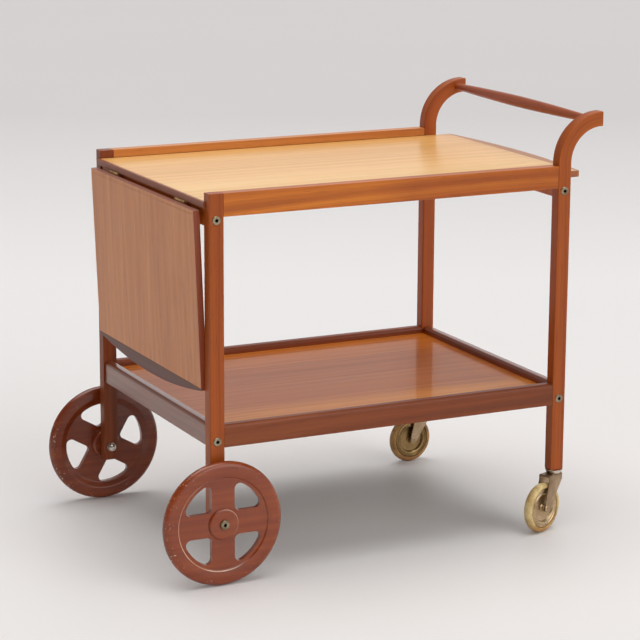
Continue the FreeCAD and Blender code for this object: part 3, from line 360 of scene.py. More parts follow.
def dressShader(tree, shader, colour, rough, height, strength, deep):
    # the colour, the roughness and a fine relief, deep in metres
    feed(tree, shader.inputs["Base Color"], colour)
    feed(tree, shader.inputs["Roughness"], rough)
    bump = addNode(tree, "Bump", {"Strength": strength, "Distance": deep, "Height": height})
    feed(tree, shader.inputs["Normal"], bump.outputs[0])


def varnish(shader, look):
    shader.inputs["Specular IOR Level"].default_value = look["shine"]
    shader.inputs["Coat Weight"].default_value = look["coat"]
    shader.inputs["Coat Roughness"].default_value = look["coatRough"]


def objectCoordinates(tree):
    return addNode(tree, "TexCoord", {}).outputs["Object"]


def objectPlace(tree, shift=(0, 0, 0), turn=(0, 0, 0)):
    inputs = {"Vector": objectCoordinates(tree), "Location": shift, "Rotation": turn}
    return addNode(tree, "Mapping", inputs).outputs[0]


woodGrain = {
    "turns": {"X": (0, 0, 0), "Y": (0, 0, -math.pi / 2), "Z": (0, math.pi / 2, 0)},
    "sway": (1.7, 6, 6), "tone": (0.9, 8, 8), "toneShare": 0.35, "streaks": (2.2, 95, 95),
    "fibres": (7, 330, 330), "fibreGreys": (0.72, 1.12), "fibreRelief": 0.4, "toneSpan": (0.36, 0.64),
    "pores": (24, 900, 900), "poreSpan": (0.6, 0.72), "poreTint": (150, 110, 90), "edgeBlend": 0.2,
    "edgeGrain": 0.6, "smoother": 0.04, "rougher": 0.06, "bump": 0.15, "bumpDeep": 0.0002,
}


def woodMaterial(name, look, along="X", shift=(0.0, 0.0, 0.0), unrolled=False, edgings=(), fades=()):
    # oiled and varnished teak: growth bands round a distant pith, fine fibres and open pores
    material, tree, shader = blankMaterial(name)
    g = woodGrain
    if unrolled:
        raw = addNode(tree, "Attribute", {}, attribute_name="grain").outputs["Vector"]
        lay = addNode(tree, "Mapping", {"Vector": raw, "Location": shift}).outputs[0]
    else:
        lay = objectPlace(tree, shift, g["turns"][along])
    swayInputs = {"Vector": stretched(tree, lay, g["sway"]), "Scale": 1.0, "Detail": 2.0}
    sway = addNode(tree, "TexNoise", swayInputs).outputs[1]
    offset = stretched(tree, sway, (look["sway"],) * 3)
    bent = addNode(tree, "VectorMath", {0: lay, 1: offset}, operation="ADD").outputs[0]
    reach = measured(tree, "LENGTH", stretched(tree, bent, (look["cone"], 1, 1)))
    bandInputs = {"W": reach, "Scale": look["bands"], "Detail": 4.0, "Roughness": 0.62}
    bands = addNode(tree, "TexNoise", bandInputs, noise_dimensions="1D").outputs[0]
    tone = noise(tree, bent, g["tone"])
    streaks = noise(tree, lay, g["streaks"], 3.0, 0.6)
    fibres = noise(tree, lay, g["fibres"], 3.0, 0.6)
    pores = remap(tree, noise(tree, lay, g["pores"], 1.0), *g["poreSpan"])
    streakShare = 1 - g["toneShare"] - look["figure"]
    figure = total(tree, product(tree, bands, look["figure"]), product(tree, streaks, streakShare),
                   product(tree, tone, g["toneShare"]))
    grey = remap(tree, fibres, *usualSpan, *g["fibreGreys"])
    tones = toneRamp(tree, figure, look, *g["toneSpan"])
    colour = blendColour(tree, look["fibre"], tones, grey, "MULTIPLY")
    darkened = blendColour(tree, 1.0, colour, tint(*g["poreTint"]), "MULTIPLY")
    colour = blendColour(tree, product(tree, pores, look["pore"]), colour, darkened)
    for letter, start, edgeAndSheenColour in edgings:
        # the side of a board, past a place on one axis, in the wood of its own edging; the leaf's hinge
        # lipping gets a painted sheen on its top face this way
        place = combine(tree, "ABSOLUTE", onAxis(tree, objectCoordinates(tree), letter))
        past = remap(tree, place, start / 1000, (start + g["edgeBlend"]) / 1000)
        grained = blendColour(tree, g["edgeGrain"], tint(*edgeAndSheenColour), grey, "MULTIPLY")
        colour = blendColour(tree, past, colour, grained)
    for letter, start, end, fadeColour, kind in fades:
        # the colour changes from one place on an axis to another: painted light, shade and sheen, and the
        # shelf's plain underside
        place = onAxis(tree, objectCoordinates(tree), letter)
        past = remap(tree, place, start / 1000, end / 1000)
        colour = blendColour(tree, past, colour, tint(*fadeColour), kind)
    rough = remap(tree, fibres, *usualSpan, look["rough"] - g["smoother"], look["rough"] + g["rougher"])
    height = combine(tree, "SUBTRACT", product(tree, fibres, g["fibreRelief"]), pores)
    dressShader(tree, shader, colour, rough, height, g["bump"], g["bumpDeep"])
    varnish(shader, look)
    return material


metalWear = {
    "grit": (900, 900, 260), "gritSpan": (0.4, 0.7), "scratches": 0.08, "dullSpan": (0.42, 0.66),
    # the dark colour and its blend here paint shade into key sockets
    "clouding": 0.16, "dirtAndShade": (20, 17, 14), "socketShadeBlend": 0.3, "bump": 0.08, "bumpDeep": 0.0001,
}


def metalMaterial(name, look, socketPlaces=(), socketReach=0.0):
    # plated or lacquered metal with clouding, fine scratches, a dulled tint in patches and painted shade in
    # key sockets
    material, tree, shader = blankMaterial(name)
    m = metalWear
    lay = objectPlace(tree)
    cloud = noise(tree, lay, look["cloud"], 3.0, 0.6)
    grit = noise(tree, lay, m["grit"])
    dulled = remap(tree, cloud, *m["dullSpan"])
    colour = blendColour(tree, dulled, tint(*look["clean"]), tint(*look["aged"]))
    for x, z in socketPlaces:
        # painted shade in a key socket, which lies along Y
        flat = stretched(tree, objectCoordinates(tree), (1, 0, 1))
        away = measured(tree, "DISTANCE", flat, (x / 1000, 0, z / 1000))
        dirtAndShade = remap(tree, away, (socketReach - m["socketShadeBlend"]) / 1000, socketReach / 1000, 1.0, 0.0)
        colour = blendColour(tree, dirtAndShade, colour, tint(*m["dirtAndShade"]))
    scratched = remap(tree, grit, *m["gritSpan"], 0.0, m["scratches"])
    clouded = remap(tree, cloud, *usualSpan, look["rough"], look["rough"] + m["clouding"])
    rough = total(tree, clouded, scratched)
    dressShader(tree, shader, colour, rough, grit, m["bump"], m["bumpDeep"])
    shader.inputs["Metallic"].default_value = look["metal"]
    return material


def woodPiece(bm, name, body, slotName, node, look, along, shift, sharpAngle=34.0, **settings):
    # a piece in its own cut of wood
    grain = woodMaterial(name + "Teak", look, along, shift, **settings)
    return finishPiece(bm, name, body, grain, [node], sharpAngle)


def varied(look, **changes):
    return {**look, **changes}


teak = {
    "dark": (150, 84, 44), "middle": (186, 108, 56), "light": (206, 130, 72), "sway": 0.02, "cone": 0.08,
    "bands": 90.0, "figure": 0.3, "fibre": 0.3, "pore": 0.3, "rough": 0.42, "shine": 0.4, "coat": 0.15,
    "coatRough": 0.2,
}
topLook = varied(teak, dark=(220, 161, 83), middle=(236, 179, 103), light=(244, 193, 121), figure=0.4,
                 fibre=0.25, pore=0.2, coat=0.3)
railLook = varied(teak, dark=(178, 91, 22), middle=(203, 110, 27), light=(217, 128, 36), figure=0.5,
                  shine=0.3)
innerRailLook = varied(railLook, dark=(186, 106, 40), middle=(204, 126, 54), light=(216, 142, 68))
legLook = varied(teak, dark=(150, 69, 17), middle=(170, 82, 21), light=(186, 96, 30), figure=0.4, sway=0.01,
                 shine=0.25, coat=0.1)
# the far left leg is darker: partly its own tone, partly painted shade
farShadedLegLook = varied(legLook, dark=(114, 51, 17), middle=(131, 60, 21), light=(144, 70, 28))
lowRailLook = varied(teak, dark=(110, 49, 16), middle=(128, 60, 20), light=(142, 72, 29), shine=0.3)
lowCrossLook = varied(lowRailLook, coat=0.8, coatRough=0.12, shine=0.4)
shelfLook = varied(teak, dark=(208, 128, 36), middle=(226, 146, 47), light=(238, 162, 64), fibre=0.2,
                   pore=0.2, coat=0.24, coatRough=0.1, shine=0.2)
leafLook = varied(teak, dark=(192, 115, 56), middle=(210, 131, 69), light=(224, 147, 84), figure=0.2,
                  pore=0.25)
lippingLook = varied(teak, dark=(134, 70, 42), middle=(152, 84, 54), light=(166, 97, 64), sway=0.01,
                     shine=0.3)
# the top's bowed lipping: the end lipping's wood made lighter, as painted light on its upward face
topEdgeLook = varied(teak, dark=(176, 110, 62), middle=(192, 126, 74), light=(206, 140, 88), sway=0.01)
# the leaf's bowed lipping: dark lipping wood, darkened further as painted shade
leafEndLook = varied(teak, dark=(90, 43, 29), middle=(102, 51, 35), light=(114, 61, 43), sway=0.01,
                     shine=0.25)
spindleLook = varied(teak, dark=(146, 68, 32), middle=(164, 82, 42), light=(178, 97, 55), sway=0.006)
beechLook = varied(teak, dark=(190, 150, 104), middle=(210, 172, 124), light=(222, 188, 144), coat=0.0)

zincLook = {"clean": (196, 196, 192), "aged": (150, 148, 138), "cloud": 60.0, "rough": 0.32, "metal": 1.0}
bronzedLook = varied(zincLook, clean=(160, 146, 122), aged=(112, 98, 76), cloud=90.0, rough=0.28, metal=0.95)
discLook = varied(zincLook, clean=(198, 172, 134), aged=(152, 126, 90), cloud=24.0, rough=0.18, metal=0.92)
metalLooks = {
    "zincSteel": zincLook,
    "nickel": varied(zincLook, clean=(220, 214, 204), aged=(190, 182, 166), cloud=70.0, rough=0.18),
    "brass": varied(zincLook, clean=(222, 188, 120), aged=(170, 132, 78), cloud=80.0, rough=0.26),
    "casterSteel": varied(discLook, clean=(176, 152, 124), aged=(138, 112, 84), rough=0.17, metal=0.95),
    "capSteel": varied(zincLook, clean=(214, 204, 188), aged=(172, 158, 136), rough=0.2),
    "rivetSteel": varied(zincLook, clean=(200, 176, 144), aged=(160, 136, 104), rough=0.22),
    "nearDiscSteel": discLook,
    # the far caster's disc is darker: painted shade
    "farDiscSteel": varied(discLook, clean=(150, 122, 80), aged=(100, 78, 48)),
}
finishes = {name: metalMaterial(name, look) for name, look in metalLooks.items()}
beech = woodMaterial("beechDowel", beechLook, "Y")
print("stage: finishes ready")


# side frames

frameBolt = {
    "leftX": -311.75, "handleX": 342.75, "topZ": 609.5, "shelfZ": 240.0, "legFace": 251.5, "sink": 7.6,
    "sinkDeep": 1.2, "hole": 3.1, "holeDeep": 24.0, "over": 1.0, "steps": 40, "socketShadeReach": 3.2,
}


def boltHoles(leg, side, x):
    # shallow sinks for the bolt heads in a leg's outer face, and the holes behind them
    p = frameBolt
    for radius, deep in ((p["sink"], p["sinkDeep"] + p["over"]), (p["hole"], p["holeDeep"])):
        cutter = bmesh.new()
        for z in (p["topZ"], p["shelfZ"]):
            start = (x, (p["legFace"] + p["over"]) * side, z)
            addShape(cutter, rodFrom(start, (0, -side, 0), radius, deep, p["steps"]))
        leg = pierced(leg, cutter)
    return leg


boardGroove = {"deep": 7.5, "play": 0.2}
boardLow, boardHigh = nodeBox("board_panel")


def groovedSection(low, high, side):
    # outline of a leg or rail with the top board's groove in its inner face
    p = boardGroove
    outer, inner = (low.y, high.y) if side < 0 else (high.y, low.y)
    deep = inner + side * p["deep"]
    grooveLow = boardLow.z - p["play"]
    grooveHigh = boardHigh.z + p["play"]
    return [(outer, low.z), (inner, low.z), (inner, grooveLow), (deep, grooveLow),
            (deep, grooveHigh), (inner, grooveHigh), (inner, high.z), (outer, high.z)]


leftLeg = {"outerRound": 2.8, "roundSteps": 6, "arris": 0.7}

for word, side in sides:
    low, high = nodeBox(word + "_left_leg")
    outer = low.y if side < 0 else high.y
    bm = barFrom(groovedSection(low, high, side), alongX, low.x, high.x)
    corner = edgesAlong(bm, alongZ, lambda m: abs(m.y - outer) < 0.1 and m.x < low.x + 1)
    roundEdges(bm, corner, leftLeg["outerRound"], leftLeg["roundSteps"])
    softenRest(bm, leftLeg["arris"])
    bm = boltHoles(bm, side, frameBolt["leftX"])
    look = legLook if side < 0 else farShadedLegLook
    woodPiece(bm, word + "LeftLeg", "frame", "leg_wood", word + "_left_leg", look, "Z",
              (0.3 * side, 0.13, 0.09 * side))

handleLeg = {
    "cornerRound": 2.2, "endRound": 3.0, "foot": 109.0, "centreX": 416.0, "centreZ": 657.0,
    "outerRadius": 86.0, "innerRadius": 60.5, "armEnd": 417.75, "turnSteps": 36,
}


def handleLegShape(low, high):
    # straight up from the foot, through a quarter circle and on to the arm's end
    p = handleLeg
    faceX = p["centreX"] - p["outerRadius"]
    rightX = p["centreX"] - p["innerRadius"]
    section = [(faceX, low.y), (rightX, low.y), (rightX, high.y), (faceX, high.y)]
    rounds = {index: p["cornerRound"] for index in range(4)}
    bm = barFrom(section, alongZ, p["foot"], p["centreZ"], rounds)
    top = [f for f in bm.faces if f.normal.z > 0.9]
    region = top + list({e for f in top for e in f.edges}) + list({v for f in top for v in f.verts})
    swept = spun(bm, region, (p["centreX"], 0, p["centreZ"]), alongY, math.pi / 2, p["turnSteps"])
    last = [f for f in swept["geom_last"] if isinstance(f, bmesh.types.BMFace)]
    thicken(bm, alongX * (p["armEnd"] - p["centreX"]), last)
    bmesh.ops.delete(bm, geom=[f for f in top + last if f.is_valid], context="FACES_ONLY")
    mergeClose(bm, 0.01)
    softenRest(bm, p["endRound"], segments=3, least=60)
    return bm


def unrollGrain(piece):
    # grain coordinates that follow the leg up and round its arm
    p = handleLeg
    middleRadius = (p["outerRadius"] + p["innerRadius"]) / 2
    layer = piece.data.attributes.new("grain", "FLOAT_VECTOR", "POINT")
    for vertex in piece.data.vertices:
        spot = vertex.co * 1000
        if spot.z <= p["centreZ"]:
            along = spot.z
            across = spot.x - p["centreX"] + p["outerRadius"]
        elif spot.x <= p["centreX"]:
            reach = Vector((p["centreX"] - spot.x, spot.z - p["centreZ"]))
            along = p["centreZ"] + middleRadius * math.atan2(reach.y, reach.x)
            across = p["outerRadius"] - reach.length
        else:
            along = p["centreZ"] + middleRadius * math.pi / 2 + spot.x - p["centreX"]
            across = p["centreZ"] + p["outerRadius"] - spot.z
        layer.data[vertex.index].vector = (along / 1000, spot.y / 1000, across / 1000)


for word, side in sides:
    bm = handleLegShape(*nodeBox(word + "_handle_leg"))
    bm = boltHoles(bm, side, frameBolt["handleX"])
    piece = woodPiece(bm, word + "HandleLeg", "frame", "leg_wood", word + "_handle_leg", legLook, "X",
                      (0.2 * side, 0.21, 0.11), unrolled=True)
    unrollGrain(piece)

# the near top rail is darker towards its right half: painted shade
topRail = {"arris": 0.8, "nearFades": [("X", -40, 50, (231, 219, 208), "MULTIPLY")], "farFades": []}

for word, side in sides:
    low, high = nodeBox(word + "_top_rail")
    bm = barFrom(groovedSection(low, high, side), alongX, low.x, high.x)
    softenRest(bm, topRail["arris"])
    look = railLook if side < 0 else innerRailLook
    woodPiece(bm, word + "TopRail", "frame", "top_rail_wood", word + "_top_rail", look, "X",
              (0.4 * side, 0.24 - 0.06 * side, -0.5), fades=topRail[word + "Fades"])

lowRail = {"topRound": 6.0, "topSteps": 7, "arris": 0.8}


def lowRailShape(low, high, axis):
    # square bar whose two upper edges are rounded over
    bm = blockBetween(low, high)
    upper = edgesAlong(bm, axis, lambda m: m.z > high.z - 1)
    roundEdges(bm, upper, lowRail["topRound"], lowRail["topSteps"])
    softenRest(bm, lowRail["arris"])
    return bm


for word, side in sides:
    bm = lowRailShape(*nodeBox(word + "_shelf_rail"), alongX)
    woodPiece(bm, word + "ShelfRail", "frame", "shelf_rail_wood", word + "_shelf_rail", lowRailLook, "X",
              (0.7 * side, 0.2, -0.1))
print("stage: side frames done")


# cross rails, with the barrel nuts' holes in their inner faces

crossRail = {
    "arris": 0.8, "notchDeep": 5.0, "notchHalf": 23.0, "hingeY": 148.0, "nutY": 210.0, "nutHole": 5.15,
    "nutDeep": 16.8, "over": 2.0,
}


def crossSection(low, high, notched):
    # the leaf-end rail has a notch under each hinge
    p = crossRail
    section = [(low.y, low.z), (high.y, low.z), (high.y, high.z)]
    if notched:
        floorZ = high.z - p["notchDeep"]
        for middle in (p["hingeY"], -p["hingeY"]):
            outside = middle + p["notchHalf"]
            inside = middle - p["notchHalf"]
            section += [(outside, high.z), (outside, floorZ), (inside, floorZ), (inside, high.z)]
    return section + [(low.y, high.z)]


def withNutHoles(bm, low, high, inward, z):
    p = crossRail
    face = high.x if inward > 0 else low.x
    cutter = bmesh.new()
    for side in (-1, 1):
        start = (face + inward * p["over"], p["nutY"] * side, z)
        addShape(cutter, rodFrom(start, (-inward, 0, 0), p["nutHole"], p["nutDeep"] + p["over"]))
    return pierced(bm, cutter)


for end, inward in (("left", 1), ("handle", -1)):
    low, high = nodeBox(end + "_top_cross_rail")
    bm = barFrom(crossSection(low, high, inward > 0), alongX, low.x, high.x)
    softenRest(bm, crossRail["arris"])
    bm = withNutHoles(bm, low, high, inward, frameBolt["topZ"])
    woodPiece(bm, end + "TopCrossRail", "frame", "top_rail_wood", end + "_top_cross_rail", railLook, "Y",
              (0.9 * inward, 0.3, 0.2))

    low, high = nodeBox(end + "_shelf_cross_rail")
    bm = withNutHoles(lowRailShape(low, high, alongY), low, high, inward, frameBolt["shelfZ"])
    woodPiece(bm, end + "ShelfCrossRail", "frame", "shelf_rail_wood", end + "_shelf_cross_rail",
              lowCrossLook, "Y", (0.5 * inward, 0.26, 0.13))

# the shelf's veneer, lighter along its near and far strips than in the middle as painted light, darker at its
# right end as painted shade, with a plain underside
shelfFades = [("Y", -165, -115, (230, 210, 218), "MULTIPLY"), ("Y", 60, 140, (272, 276, 262), "MULTIPLY"),
              ("X", 160, 260, (240, 232, 206), "MULTIPLY"), ("Z", 254.0, 253.6, (128, 114, 100), "MIX")]
shelfGrain = woodMaterial("shelfTeakVeneer", shelfLook, "X", shift=(0.2, 0.16, -0.2), fades=shelfFades)
dressNode(shelfGrain, "shelf_panel")
print("stage: cross rails and shelf done")


# handle bar

handleBar = {
    "middle": 10.3, "neck": 6.0, "end": 230.0, "tenon": 4.0, "tenonEnd": 242.0, "steps": 20, "taper": 1.7,
    "sharp": 50,
}


def spindleProfile():
    p = handleBar
    half = []
    for step in range(p["steps"] + 1):
        share = step / p["steps"]
        half.append((p["middle"] - (p["middle"] - p["neck"]) * share ** p["taper"], p["end"] * share))
    half += [(p["tenon"], p["end"]), (p["tenon"], p["tenonEnd"]), (0, p["tenonEnd"])]
    return mirrored(half) + half[1:]


low, high = nodeBox("handle_bar")
bm = turnedShape(spindleProfile(), ((low.x + high.x) / 2, 0, (low.z + high.z) / 2), alongY, 64)
woodPiece(bm, "handleBar", "frame", "top_rail_wood", "handle_bar", spindleLook, "Y", (0.1, 0.32, 0.66),
          handleBar["sharp"])
print("stage: handle bar done")


# sliding top

slidingTop = {
    "veneerArris": 0.35, "lippingArris": 0.7, "blockArris": 1.0, "bow": 18.0, "least": 3.5,
    "bowSteps": 48, "side": (168, 92, 48), "sideThick": 0.6,
    # paler and bluer towards the near edge: painted sheen
    "fades": [("Y", -50, -130, (262, 274, 286), "MULTIPLY")],
}


def bowedStrip(p, start, half):
    # flat strip, straight at start and bowed out beyond it, along +X
    bm = bmesh.new()
    bmesh.ops.create_grid(bm, x_segments=1, y_segments=p["bowSteps"], size=1.0)
    for v in bm.verts:
        y = v.co.y * half
        out = p["least"] + p["bow"] * (1 - (y / half) ** 2) if v.co.x > 0 else 0
        v.co = (start + out, y, 0)
    return bm


p = slidingTop
bm = blockBetween(boardLow, boardHigh)
softenRest(bm, p["veneerArris"])
woodPiece(bm, "topBoard", "sliding_top", "top_veneer", "board_panel", topLook, "X", (0.1, 0.1, -0.76),
          fades=p["fades"], edgings=[("Y", boardHigh.y - p["sideThick"], p["side"])])

bm = blockBetween(*nodeBox("board_end_lipping"))
softenRest(bm, p["lippingArris"])
woodPiece(bm, "topEndLipping", "sliding_top", "lipping_wood", "board_end_lipping", lippingLook, "Y",
          (0.3, 0.2, 0.1))

low, high = nodeBox("board_bowed_lipping")
bm = bowedStrip(p, low.x, high.y)
moveShape(bm, (0, 0, low.z))
thicken(bm, alongZ * (high.z - low.z))
softenRest(bm, p["lippingArris"])
woodPiece(bm, "topBowedLipping", "sliding_top", "lipping_wood", "board_bowed_lipping", topEdgeLook, "Y",
          (0.8, 0.3, 0.15))

bm = blockBetween(*nodeBox("top_stop_block"))
softenRest(bm, p["blockArris"])
block = woodPiece(bm, "topStopBlock", "sliding_top", "lipping_wood", "top_stop_block", lowRailLook, "Y",
                  (0.6, 0.1, 0.3))
dressNode(block.data.materials[0], "near_runner_strip", "far_runner_strip")
print("stage: sliding top done")


# drop leaf, made hanging plumb from the hinge axis and then leaned in

dropLeaf = {
    "hingeX": -330.8, "hingeZ": 627.0, "lean": 2.33, "inner": -1.0, "thick": 11.0, "half": 229.0,
    "edge": -2.5, "long": 301.0, "hingeLipping": 7.0, "least": 3.5, "bow": 21.0, "bowSteps": 48,
    # top is a painted sheen on the hinge lipping's top face; side is the leaf's dark edging wood
    "arris": 0.8, "joint": 0.3, "side": (150, 70, 38), "sideThick": 0.7, "top": (150, 96, 80),
    "topFrom": 623.7, "panelGrain": (0.1, 0.12, -0.1),
}


def leanIn(bm):
    p = dropLeaf
    turnShape(bm, Matrix.Rotation(math.radians(-p["lean"]), 3, "Y"))
    moveShape(bm, (p["hingeX"], 0, p["hingeZ"]))


def leafBlock(fromZ, toZ):
    p = dropLeaf
    return blockBetween((p["inner"] - p["thick"], -p["half"], fromZ), (p["inner"], p["half"], toZ))


def leafPiece(bm, arris, name, slotName, look, along, shift, node):
    p = dropLeaf
    softenRest(bm, arris)
    leanIn(bm)
    edgings = [("Y", p["half"] - p["sideThick"], p["side"])]
    # the hinge lipping's top face gets a painted sheen
    if node == "leaf_hinge_lipping":
        edgings.append(("Z", p["topFrom"], p["top"]))
    woodPiece(bm, name, "leaf", slotName, node, look, along, shift, edgings=edgings)


p = dropLeaf
panelTop = p["edge"] - p["hingeLipping"]
panelEnd = p["edge"] - p["long"] + p["least"]
leafPiece(leafBlock(panelEnd, panelTop), p["joint"], "leafPanel", "leaf_veneer", leafLook, "Z",
          p["panelGrain"], "leaf_panel")
leafPiece(leafBlock(panelTop, p["edge"]), p["arris"], "leafHingeLipping", "lipping_wood", leafLook, "Z",
          p["panelGrain"], "leaf_hinge_lipping")
bm = bowedStrip(p, 0, p["half"])
turnShape(bm, Matrix.Rotation(math.pi / 2, 3, "Y"))
moveShape(bm, (p["inner"] - p["thick"], 0, panelEnd))
thicken(bm, alongX * p["thick"])
leafPiece(bm, p["arris"], "leafBowedLipping", "lipping_wood", leafEndLook, "Y", (0.55, 0.25, 0.2),
          "leaf_bowed_lipping")
print("stage: drop leaf done")


# hinges and screws

hinge = {"spread": 13.0, "back": 13.0, "plate": 1.2, "plateLow": 626.8}
screw = {
    "headRadius": 2.6, "shankRadius": 1.4, "headTall": 1.2, "long": 8.5, "steps": 24, "slotWide": 0.7,
    "slotDeep": 0.5, "slotOver": 1.0, "slotTurn": 0.6,
}
stopScrew = {"x": -293.7, "y": 20.0, "low": 615.0, "long": 21.5}


def slottedScrew(start, axis, length):
    # countersunk head with a slot across it, then its shank
    p = screw
    profile = [(0, 0), (p["headRadius"], 0), (p["shankRadius"], p["headTall"]), (p["shankRadius"], length),
               (0, length)]
    bm = turnedShape(profile, start, Vector(axis), p["steps"])
    across = Vector((2 * (p["headRadius"] + p["slotOver"]), p["slotWide"], 2 * p["slotDeep"]))
    cutter = blockBetween(-across / 2, across / 2)
    facing = alongZ.rotation_difference(Vector(axis)).to_matrix()
    turnShape(cutter, facing @ Matrix.Rotation(p["slotTurn"], 3, "Z"))
    moveShape(cutter, start)
    return pierced(bm, cutter)


boardScrews = bmesh.new()
leafScrews = bmesh.new()
for side in (-1, 1):
    for step in (-1, 0, 1):
        y = crossRail["hingeY"] * side + hinge["spread"] * step
        spot = (dropLeaf["hingeX"] + hinge["back"], y, hinge["plateLow"])
        addShape(boardScrews, slottedScrew(spot, (0, 0, 1), screw["long"]))
        spot = (dropLeaf["inner"] + hinge["plate"], y, -hinge["back"])
        addShape(leafScrews, slottedScrew(spot, (-1, 0, 0), screw["long"]))
    spot = (stopScrew["x"], stopScrew["y"] * side, stopScrew["low"])
    addShape(boardScrews, slottedScrew(spot, (0, 0, 1), stopScrew["long"]))
leanIn(leafScrews)
finishPiece(boardScrews, "topScrews", "sliding_top", finishes["brass"], ["board_screws"])
finishPiece(leafScrews, "leafScrews", "leaf", finishes["brass"], ["leaf_screws"])
for word, side in sides:
    for ending in ("_hinge_board_plate", "_hinge_leaf_plate", "_hinge_pin"):
        dressNode(finishes["brass"], word + ending)
print("stage: hinges done")


# large wheels

woodenWheel = {"radius": 106.0, "thick": 18.0, "gap": 9.0, "bore": 6.05, "steps": 144,
               "hubRadius": 26.7, "hubRound": 4.2, "hubBack": 1.5, "hubDraft": 1.5, "hubBackRound": 4.0,
               "hubFoot": 0.8, "recess": 80.5, "webStep": 4.5, "stepIn": 1.2, "stepFoot": 2.6, "stepOut": 0.4,
               "stepRound": 1.6, "crest": 91.5, "crestRound": 40.0, "crestFall": 2.0, "rimRound": 8.5,
               "backSlope": 5.0, "backRound": 6.0, "spokeHalf": 20.5, "holeReach": 74.0, "holeCorner": 9.0,
               "holeRound": 1.6, "cutHalf": 60.0}


def spokeHole(bm):
    # rounded sector between two spokes, in the XZ plane, as one face
    p = woodenWheel
    half = p["spokeHalf"]
    corner = p["holeCorner"]
    reach = p["holeReach"]
    up = math.sqrt((reach - corner) ** 2 - (half + corner) ** 2)
    grow = reach / (reach - corner)
    turnOut = math.degrees(math.atan2(half + corner, up))
    arcs = [
        # start, centre, degrees, steps
        ((half, half + corner), (half + corner, half + corner), 90.0, 8),
        ((up, half), (up, half + corner), 90.0 + turnOut, 8),
        ((up * grow, (half + corner) * grow), (0.0, 0.0), 90.0 - 2 * turnOut, 18),
        (((half + corner) * grow, up * grow), (half + corner, up), 90.0 + turnOut, 8),
    ]
    loop = []
    for start, centre, degrees, steps in arcs:
        before = len(bm.verts)
        first = bm.verts.new((start[0], 0, start[1]))
        spun(bm, [first], (centre[0], 0, centre[1]), (0, -1, 0), math.radians(degrees), steps)
        bm.verts.ensure_lookup_table()
        loop += bm.verts[before:]
    bmesh.ops.delete(bm, geom=bm.edges[:], context="EDGES_FACES")
    ring = []
    for v in loop:
        if v.is_valid and (not ring or (v.co - ring[-1].co).length > 0.01):
            ring.append(v)
    if (ring[0].co - ring[-1].co).length < 0.01:
        ring.pop()
    return bm.faces.new(ring)


def holeCutter():
    # all four openings
    bm = bmesh.new()
    spokeHole(bm)
    moveShape(bm, (0, -woodenWheel["cutHalf"], 0))
    thicken(bm, alongY * 2 * woodenWheel["cutHalf"])
    bmesh.ops.remove_doubles(bm, verts=bm.verts, dist=0.01)
    everything = bm.verts[:] + bm.edges[:] + bm.faces[:]
    spun(bm, everything, (0, 0, 0), alongY, math.pi * 1.5, 3, copies=True)
    return bm


def wheelProfile(outer, web, back, inner):
    p = woodenWheel
    return filleted([
        (p["bore"], outer, 0),
        (p["hubRadius"], outer, p["hubRound"]),
        (p["hubRadius"], web, 0),
        (p["recess"] - p["stepIn"], web, p["stepFoot"]),
        (p["recess"] + p["stepOut"], outer + p["crestFall"], p["stepRound"]),
        (p["crest"], outer, p["crestRound"]),
        (p["radius"], outer + p["crestFall"], p["rimRound"]),
        (p["radius"], inner, p["rimRound"]),
        (p["recess"] + p["backSlope"], inner, p["backRound"]),
        (p["recess"] - p["backSlope"], back, p["backRound"]),
        (p["hubRadius"], back, p["hubFoot"]),
        (p["hubRadius"] - p["hubDraft"], -p["hubBack"], p["hubBackRound"]),
        (p["bore"], -p["hubBack"], 0),
    ])


def wheelShape():
    # drawn on the near side: the leg's outer face at y = 0 and the wheel beyond it, along -Y
    p = woodenWheel
    outer = -p["gap"] - p["thick"]
    inner = -p["gap"]
    web = outer + p["webStep"]
    back = inner - p["webStep"]
    bm = turnedShape(wheelProfile(outer, web, back, inner), (0, 0, 0), alongY, p["steps"])
    bm = pierced(bm, holeCutter())
    rims = []
    for edge in bm.edges:
        # the openings' edges, on either face of the web
        flat = any(all(abs(v.co.y - y) < 0.01 for v in edge.verts) for y in (web, back))
        reaches = [math.hypot(v.co.x, v.co.z) for v in edge.verts]
        between = min(reaches) > p["hubRadius"] + 1 and max(reaches) < p["recess"] - 2
        if flat and between and edge.is_manifold and edge.calc_face_angle(0) > 1.0:
            rims.append(edge)
    roundEdges(bm, rims, p["holeRound"])
    return bm


# the bare colour is bare wood where rubbed, and also the painted highlight on the hub's edge
nearPaint = {
    "dark": (125, 48, 7), "middle": (136, 55, 9), "light": (146, 64, 13), "bare": (236, 200, 168),
    "dirtAndShade": (96, 44, 26), "shine": 0.12, "coat": 1.0, "coatRough": 0.18,
}
# the far wheel's paint is darker: partly its own tone, partly painted shade
farShadedPaint = varied(nearPaint, dark=(114, 44, 12), middle=(125, 51, 15), light=(135, 59, 20))

# places on a wheel for its wear and for the painted highlight on the hub's edge, in metres from its centre or
# from the leg's face
wheelWearAndHighlight = {
    "side": (-0.94, 0.0, -0.34), "face": (0.0225, 0.0235), "ring": 0.0806, "ringHalf": (0.0004, 0.0009),
    "ringSide": (-0.01, 0.03), "hubHighlight": 0.0253, "hubHalf": (0.0002, 0.0007), "hubMost": 0.75,
    "hubSide": (-0.004, -0.016), "rim": (0.09, 0.098), "rimSide": (-0.06, 0.05), "rimLeast": 0.25,
}

# what breaks the paint up: how fine each noise is, and which of its values count
paintMottle = {
    "grain": (5, 30, 120), "grainShare": 0.6, "cloud": 16, "cloudShare": 0.4, "toneSpan": (0.36, 0.62),
    "breaks": 30, "breakSpan": (0.36, 0.52), "breakLeast": 0.5, "specks": 230, "speckSpan": (0.63, 0.66),
    "patches": 26, "patchSpan": (0.46, 0.58), "grime": 34, "grimeSpan": (0.5, 0.72), "grimeMost": 0.3,
    "rough": (0.36, 0.5), "wornRough": 0.3, "grainRelief": 0.5, "bump": 0.3, "bumpDeep": 0.0004,
}


